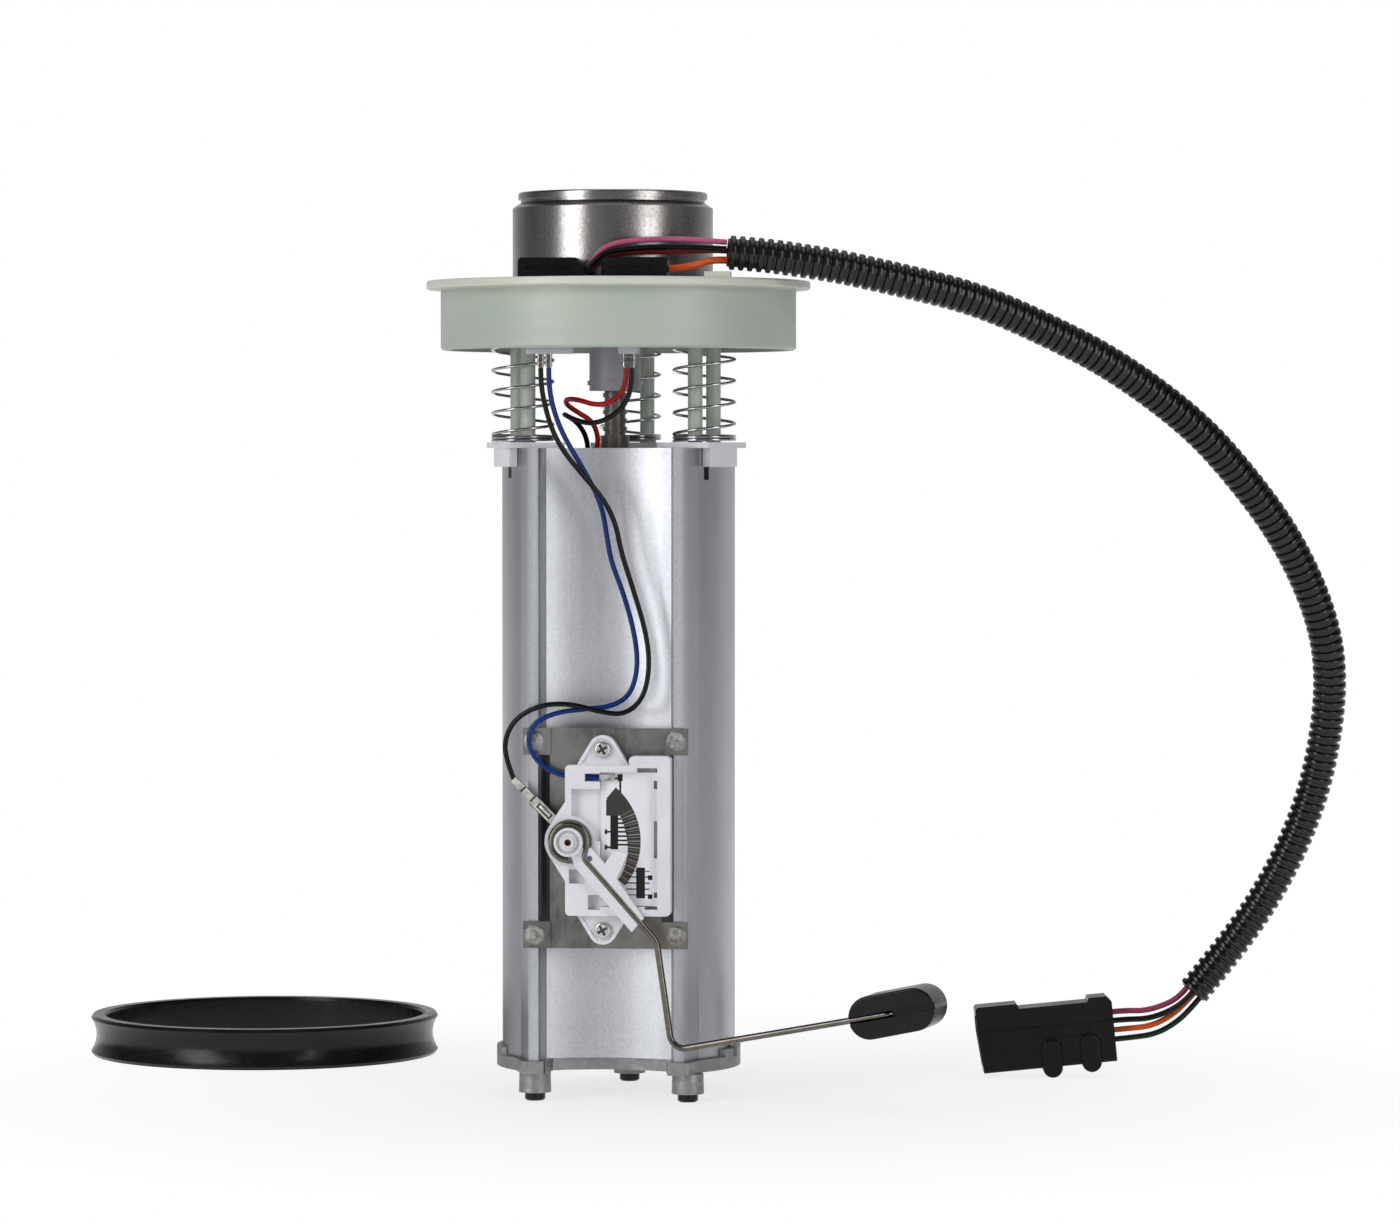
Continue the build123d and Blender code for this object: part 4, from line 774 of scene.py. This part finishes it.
leads = {
    "sender_lead_black": {
        "finish": "wireBlack", "slot": "wire_black", "diameter": 1.8 * mm, "until": -100 * mm,
        "points": [
            (-21.4, -48.0, -28.3), (-21.4, -48.0, -33.6), (-20.2, -46.8, -41.1),
            (-18.0, -44.4, -49.8), (-14.1, -42.4, -57.4), (-7.7, -40.6, -65.4),
            (-0.6, -38.6, -73.8), (3.5, -37.0, -82.5), (5.2, -36.0, -92.3), (9.3, -35.0, -105.2),
            (13.8, -35.0, -120.1), (15.3, -36.0, -131.9), (13.3, -37.0, -143.1),
            (6.8, -38.2, -149.0), (-1.8, -39.6, -147.9), (-11.5, -41.2, -145.1),
            (-21.3, -41.6, -145.2), (-30.5, -40.9, -149.4), (-34.8, -40.6, -156.1),
            (-35.1, -41.2, -163.7), (-31.8, -42.0, -171.4),
        ],
    },
    "sender_lead_blue": {
        "finish": "wireBlue", "slot": "wire_blue", "diameter": 1.8 * mm, "until": -100 * mm,
        "points": [
            (-18.6, -48.0, -28.3), (-18.6, -48.0, -34.0), (-17.4, -46.7, -42.0),
            (-14.5, -43.6, -50.9), (-9.6, -39.8, -60.0), (-4.6, -36.2, -69.4), (-1.5, -34.2, -77.6),
            (-0.2, -33.4, -86.4), (1.3, -32.8, -95.8), (5.8, -32.4, -107.3), (9.6, -32.3, -121.3),
            (10.8, -32.9, -132.8), (8.1, -34.0, -142.5), (1.2, -35.6, -146.4),
            (-7.9, -37.4, -147.0), (-17.9, -39.2, -148.3), (-25.5, -40.2, -152.2),
            (-27.2, -40.8, -158.8), (-24.2, -41.6, -164.6), (-18.6, -42.4, -168.9),
            (-11.0, -42.5, -170.5), (-1.5, -42.6, -170.6),
        ],
    },
    "pump_lead_red": {
        "finish": "wireRed", "slot": "wire_red", "diameter": 1.8 * mm, "until": -110 * mm,
        "points": [
            (8.3, -47.0, -28.3), (8.3, -47.0, -33.2), (6.2, -45.4, -37.4), (1.6, -42.8, -40.6),
            (-3.8, -40.4, -41.0), (-9.4, -37.6, -39.2), (-14.4, -33.0, -38.8),
            (-15.4, -27.0, -40.6), (-12.0, -21.6, -43.4), (-7.0, -17.6, -46.6),
            (-5.2, -14.6, -52.6), (-7.0, -13.0, -60.0), (-9.6, -11.8, -68.0), (-10.2, -9.0, -78.9),
            (-9.8, -6.6, -91.9), (-9.4, -5.4, -106.4), (-9.5, -5.0, -120.1), (-9.5, -5.0, -132.3),
        ],
    },
    "pump_lead_black": {
        "finish": "wireBlack", "slot": "wire_black", "diameter": 1.8 * mm, "until": -110 * mm,
        "points": [
            (10.3, -47.0, -28.3), (10.3, -47.0, -34.6), (7.6, -44.6, -41.2), (1.8, -41.6, -45.8),
            (-5.0, -38.4, -47.7), (-11.2, -34.6, -46.2), (-15.8, -29.0, -44.2),
            (-16.0, -22.4, -44.4), (-12.4, -17.2, -47.0), (-9.6, -13.0, -52.4),
            (-9.6, -10.0, -59.4), (-12.2, -7.0, -67.6), (-13.6, -2.0, -78.9), (-11.6, 4.2, -92.6),
            (-10.0, 8.0, -107.1), (-9.5, 9.0, -120.1), (-9.5, 9.0, -132.3),
        ],
    },
}

for name, lead in leads.items():
    piece, path = roundLead(f"{name}_wire", lead["points"], lead["diameter"])
    dress(piece, lead["finish"])
    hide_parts(name)
    top = lead["points"][0]
    top[0] * mm
    top[1] * mm
    top[0] * mm
    top[1] * mm
    top[2] * mm
    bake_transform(piece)
    declare(piece, path, lead["diameter"], far_end="object", stiffness="limp", lay="loose")
print("leads laid")

loomWires = {
    "loom_wire_black": {
        "finish": "wireBlack", "slot": "wire_black", "diameter": 2.0 * mm,
        "points": [
            (-6.1, -46.0, 5.4), (-3.4, -45.9, 8.6), (1.2, -45.5, 12.0), (8.4, -44.7, 13.1),
            (16.2, -43.6, 13.6), (25.7, -41.9, 13.8), (37.6, -40.3, 13.3), (42.5, -39.6, 13.0),
        ],
    },
    "loom_wire_pink": {
        "finish": "wirePink", "slot": "wire_pink", "diameter": 2.0 * mm,
        "points": [
            (-6.1, -43.4, 5.4), (-3.8, -43.2, 9.8), (1.2, -42.8, 14.4), (9.0, -42.0, 15.9),
            (17.6, -41.0, 16.4), (26.9, -39.6, 16.5), (37.5, -38.4, 15.7), (42.4, -37.6, 15.4),
        ],
    },
    "loom_wire_red": {
        "finish": "wireDarkRed", "slot": "wire_red", "diameter": 2.0 * mm,
        "points": [
            (-6.1, -40.8, 5.0), (-2.9, -40.8, 8.2), (1.9, -40.8, 11.2), (9.5, -40.4, 12.0),
            (17.8, -39.5, 12.1), (26.8, -37.8, 12.2), (37.4, -36.4, 12.7), (42.3, -35.6, 12.4),
        ],
    },
}

for name, lead in loomWires.items():
    piece, path = roundLead(f"{name}_lead", lead["points"], lead["diameter"])
    dress(piece, lead["finish"])
    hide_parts(name)
    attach(piece, "flange")
    declare(piece, path, lead["diameter"], far_end="object", stiffness="medium", lay="loose")
print("loom wires laid")

conduit = {
    "diameter": 12.0 * mm,
    "root": 9.8 * mm,
    "rounding": 0.1 * mm,
    "pitch": 3.2 * mm,
    "sides": 24,
    "wall": 0.6 * mm,
    "points": [
        (42.6, -37.8, 11.8), (53.8, -36.1, 11.1), (67.5, -33.1, 9.2), (81.2, -29.7, 7.0),
        (94.9, -25.7, 4.0), (108.5, -21.3, 0.9), (122.2, -16.3, -2.5), (135.9, -10.8, -7.3),
        (153.1, -3.5, -15.2), (170.4, 4.3, -23.9), (187.8, 13.2, -35.5), (205.2, 23.1, -49.6),
        (219.3, 32.1, -65.6), (233.5, 41.6, -84.6), (244.2, 49.8, -105.2), (250.6, 56.5, -125.1),
        (251.8, 61.7, -143.4), (249.6, 65.5, -163.4), (245.0, 68.0, -183.5), (237.0, 69.7, -203.6),
        (226.9, 70.6, -221.9), (215.3, 70.4, -238.4), (202.4, 69.5, -254.2),
    ],
}

# Short wires on the conduit: one into its upper end, four from its lower end into the plug
shortWires = {
    "loom_wire_orange": {
        "finish": "wireOrange", "slot": "wire_orange", "diameter": 2.6 * mm, "body": "flange",
        "points": [
            (22.9, -46.0, 6.0), (27.1, -44.9, 6.3), (32.2, -42.6, 7.4), (37.6, -38.9, 9.4),
            (42.5, -38.2, 9.1),
        ],
    },
    "plug_wire_purple": {
        "finish": "wirePurple", "slot": "wire_pink", "diameter": 2.1 * mm, "body": "reservoir",
        "points": [
            (200.2, 69.7, -252.4), (197.1, 69.5, -256.3), (190.6, 68.9, -259.4),
            (184.2, 68.0, -261.0), (178.3, 67.2, -260.8), (172.9, 66.6, -261.3),
        ],
    },
    "plug_wire_black": {
        "finish": "wireBlack", "slot": "wire_black", "diameter": 2.1 * mm, "body": "reservoir",
        "points": [
            (202.2, 66.9, -253.9), (199.0, 66.7, -257.7), (192.4, 66.9, -261.6),
            (185.6, 67.0, -263.8), (178.6, 67.2, -264.0), (173.2, 66.7, -264.5),
        ],
    },
    "plug_wire_orange": {
        "finish": "wireOrange", "slot": "wire_orange", "diameter": 2.1 * mm, "body": "reservoir",
        "points": [
            (202.7, 69.7, -254.5), (199.5, 69.5, -258.3), (194.0, 69.6, -263.2),
            (187.0, 68.6, -266.6), (178.9, 67.3, -267.4), (173.5, 66.7, -267.9),
        ],
    },
    "plug_wire_green": {
        "finish": "wireGreen", "slot": "wire_green", "diameter": 2.1 * mm, "body": "reservoir",
        "points": [
            (204.8, 70.9, -256.3), (201.7, 70.7, -260.1), (196.6, 71.0, -265.2),
            (189.0, 69.8, -269.6), (179.3, 67.3, -270.8), (173.8, 66.7, -271.3),
        ],
    },
}


def makeConduit():
    line = routeLine("conduitLine", conduit["points"])
    path = readLine(line)
    length = lengthOf(path)
    ribs = round(length / conduit["pitch"])
    step = length / ribs
    outer = conduit["diameter"] / 2
    root = conduit["root"] / 2
    shoulder = outer - conduit["rounding"]
    profile = [
        (0.0, root), (0.20, root), (0.32, shoulder), (0.42, outer),
        (0.70, outer), (0.80, shoulder), (0.92, root), (1.0, root),
    ]
    corners = [(along * step, 0, radius) for along, radius in profile]
    edges = [(k, k + 1) for k in range(len(profile) - 1)]
    # One rib as a short tube along X, turned round, then repeated and bent along the line
    mesh = bpy.data.meshes.new("rib")
    mesh.from_pydata(corners, edges, [])
    rib = bpy.data.objects.new("corrugatedConduit", mesh)
    bpy.context.collection.objects.link(rib)
    turn = rib.modifiers.new("turn", "SCREW")
    turn.axis = "X"
    turn.steps = conduit["sides"]
    turn.render_steps = conduit["sides"]
    turn.use_merge_vertices = True
    turn.merge_threshold = 0.00001
    repeat = rib.modifiers.new("ribs", "ARRAY")
    repeat.count = ribs
    repeat.use_relative_offset = False
    repeat.use_constant_offset = True
    repeat.constant_offset_displace = (step, 0, 0)
    repeat.use_merge_vertices = True
    repeat.merge_threshold = 0.00002
    bend = rib.modifiers.new("bend", "CURVE")
    bend.object = line
    bend.deform_axis = "POS_X"
    applyAll(rib)
    takeUp(rib)
    bpy.ops.object.mode_set(mode="EDIT")
    bpy.ops.mesh.select_all(action="SELECT")
    bpy.ops.mesh.normals_make_consistent(inside=False)
    bpy.ops.object.mode_set(mode="OBJECT")
    wall = rib.modifiers.new("wall", "SOLIDIFY")
    wall.thickness = conduit["wall"]
    wall.offset = -1
    applyAll(rib)
    bpy.data.objects.remove(line)
    smooth(rib, 50)
    return rib, path


loom, loomPath = makeConduit()
dress(loom, "loom")
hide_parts("conduit")
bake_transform(loom)
onConduit = [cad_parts["harness_plug"]]
for name, lead in shortWires.items():
    piece, path = roundLead(f"{name}_lead", lead["points"], lead["diameter"])
    dress(piece, lead["finish"])
    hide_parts(name)
    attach(piece, lead["body"])
    onConduit.append(piece)
declare(
    loom, loomPath, conduit["diameter"], far_end="plug", stiffness="stiff", lay="loose",
    with_pieces=onConduit)
print("conduit bent")

springs = {
    "radius": 11.25 * mm,
    "wire": 1.05 * mm,
    "sides": 10,
    "stepsPerTurn": 40,
    "circle": 35.5 * mm,
    "angles": {"rear": 90.0, "left": 205.0, "right": 335.0},
    "starts": {"rear": 40.0, "left": 186.0, "right": 175.0},
    "length": 54.0 * mm,
    "turns": 6.5,
    "closed": 2.0,
    "travel": 25.0 * mm,
}


def coil(start, rise, turns, phase, centre):
    # One stretch of wire: a round section carried round the axis and along it
    radius = springs["radius"] - springs["wire"] / 2
    spot = (radius * math.cos(phase), radius * math.sin(phase), start)
    bpy.ops.mesh.primitive_circle_add(
        vertices=springs["sides"], radius=springs["wire"] / 2, location=spot,
        rotation=(math.pi / 2, 0, phase))
    wire = bpy.context.object
    settle(wire)
    screw = wire.modifiers.new("coil", "SCREW")
    screw.angle = 2 * math.pi * turns
    screw.screw_offset = rise
    screw.iterations = 1
    screw.steps = round(springs["stepsPerTurn"] * turns)
    screw.render_steps = screw.steps
    screw.use_merge_vertices = False
    applyAll(wire)
    wire.location = (centre[0], centre[1], 0)
    settle(wire)
    return wire


def makeSpring(place, angle):
    turn = math.radians(angle)
    centre = (springs["circle"] * math.cos(turn), springs["circle"] * math.sin(turn))
    wire = springs["wire"]
    closed = springs["closed"]
    low = -springs["length"] + wire / 2
    openRise = springs["length"] - (2 * closed + 1) * wire
    phase = math.radians(springs["starts"][place])
    upper = phase + 2 * math.pi * springs["turns"]
    parts = [
        coil(low, closed * wire, closed, phase, centre),
        coil(low + closed * wire, openRise, springs["turns"], phase, centre),
        coil(low + closed * wire + openRise, closed * wire, closed, upper, centre),
    ]
    spring = joinTo(parts, f"coilSpring_{place}")
    takeUp(spring)
    bpy.ops.object.mode_set(mode="EDIT")
    bpy.ops.mesh.select_all(action="SELECT")
    bpy.ops.mesh.remove_doubles(threshold=0.00005)
    bpy.ops.mesh.fill_holes(sides=12)
    bpy.ops.mesh.normals_make_consistent(inside=False)
    bpy.ops.object.mode_set(mode="OBJECT")
    smooth(spring, 60)
    dress(spring, "spring")
    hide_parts(f"spring_{place}")
    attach(spring, "reservoir")
    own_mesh(spring)


for place, angle in springs["angles"].items():
    makeSpring(place, angle)
print("springs wound")


def makeFloor():
    # Pale floor: near the object it takes the shadow, further out camera and gloss see plain white
    letGo()
    bpy.ops.mesh.primitive_plane_add(size=studio["floorSize"], location=(0, 0, floorLevel))
    floor = bpy.context.object
    floor.name = "studioFloor"
    finish = Finish("paleFloor", (0.92, 0.92, 0.92), 0.6)
    cloud = finish.noise(2.0)
    finish.feed("Roughness", finish.spread(cloud, 0.55, 0.7))
    finish.feed("Base Color", finish.blend(finish.spread(cloud, 0, 1), *studio["floorTones"]))
    x, y, _ = finish.axes()
    ray = finish.node("ShaderNodeLightPath", {}, {})
    # Camera, glossy and transmission rays
    seen = ray | ray.output(3) | ray.output(6)
    across = x - studio["shadowCentre"]
    reach = (across * across + y * y) ** 0.5
    far = finish.spread(
        reach, studio["nearShare"], 1.0, studio["shadowFrom"], studio["shadowReach"])
    glow = finish.node("ShaderNodeEmission", {}, {"Color": (1, 1, 1, 1), "Strength": 1.0})
    mixed = finish.node("ShaderNodeMixShader", {}, {0: seen * far})
    finish.tree.links.new(finish.shader.outputs[0], mixed.socket.node.inputs[1])
    finish.tree.links.new(glow.socket, mixed.socket.node.inputs[2])
    finish.tree.links.new(mixed.socket, finish.tree.nodes["Material Output"].inputs["Surface"])
    floor.data.materials.append(finish.material)


def makeLights():
    for name, lamp in studio["lamps"].items():
        data = bpy.data.lights.new(name, "AREA")
        data.shape = "RECTANGLE"
        data.size, data.size_y = lamp["size"]
        data.energy = lamp["power"]
        light = bpy.data.objects.new(name, data)
        bpy.context.collection.objects.link(light)
        light.location = lamp["at"]
        towards = Vector(studio["aim"]) - Vector(lamp["at"])
        light.rotation_euler = towards.to_track_quat("-Z", "Y").to_euler()
    # The room is darker behind the camera than behind the object; the camera itself sees white
    world = bpy.data.worlds.new("paleRoom")
    world.use_nodes = True
    room = Bench(world.node_tree)
    direction = room.node("ShaderNodeTexCoord", {}, {}, "Generated")
    depth = room.node("ShaderNodeSeparateXYZ", {}, {0: direction}).output(1)
    ray = room.node("ShaderNodeLightPath", {}, {})
    level = room.spread(depth, studio["roomFront"], studio["roomBack"], *studio["roomFade"])
    back = world.node_tree.nodes["Background"]
    back.inputs["Color"].default_value = (1, 1, 1, 1)
    world.node_tree.links.new((level | ray).socket, back.inputs["Strength"])
    bpy.context.scene.world = world


makeFloor()
makeLights()
bpy.context.scene.view_settings.view_transform = "Standard"
print("floor and lights ready")
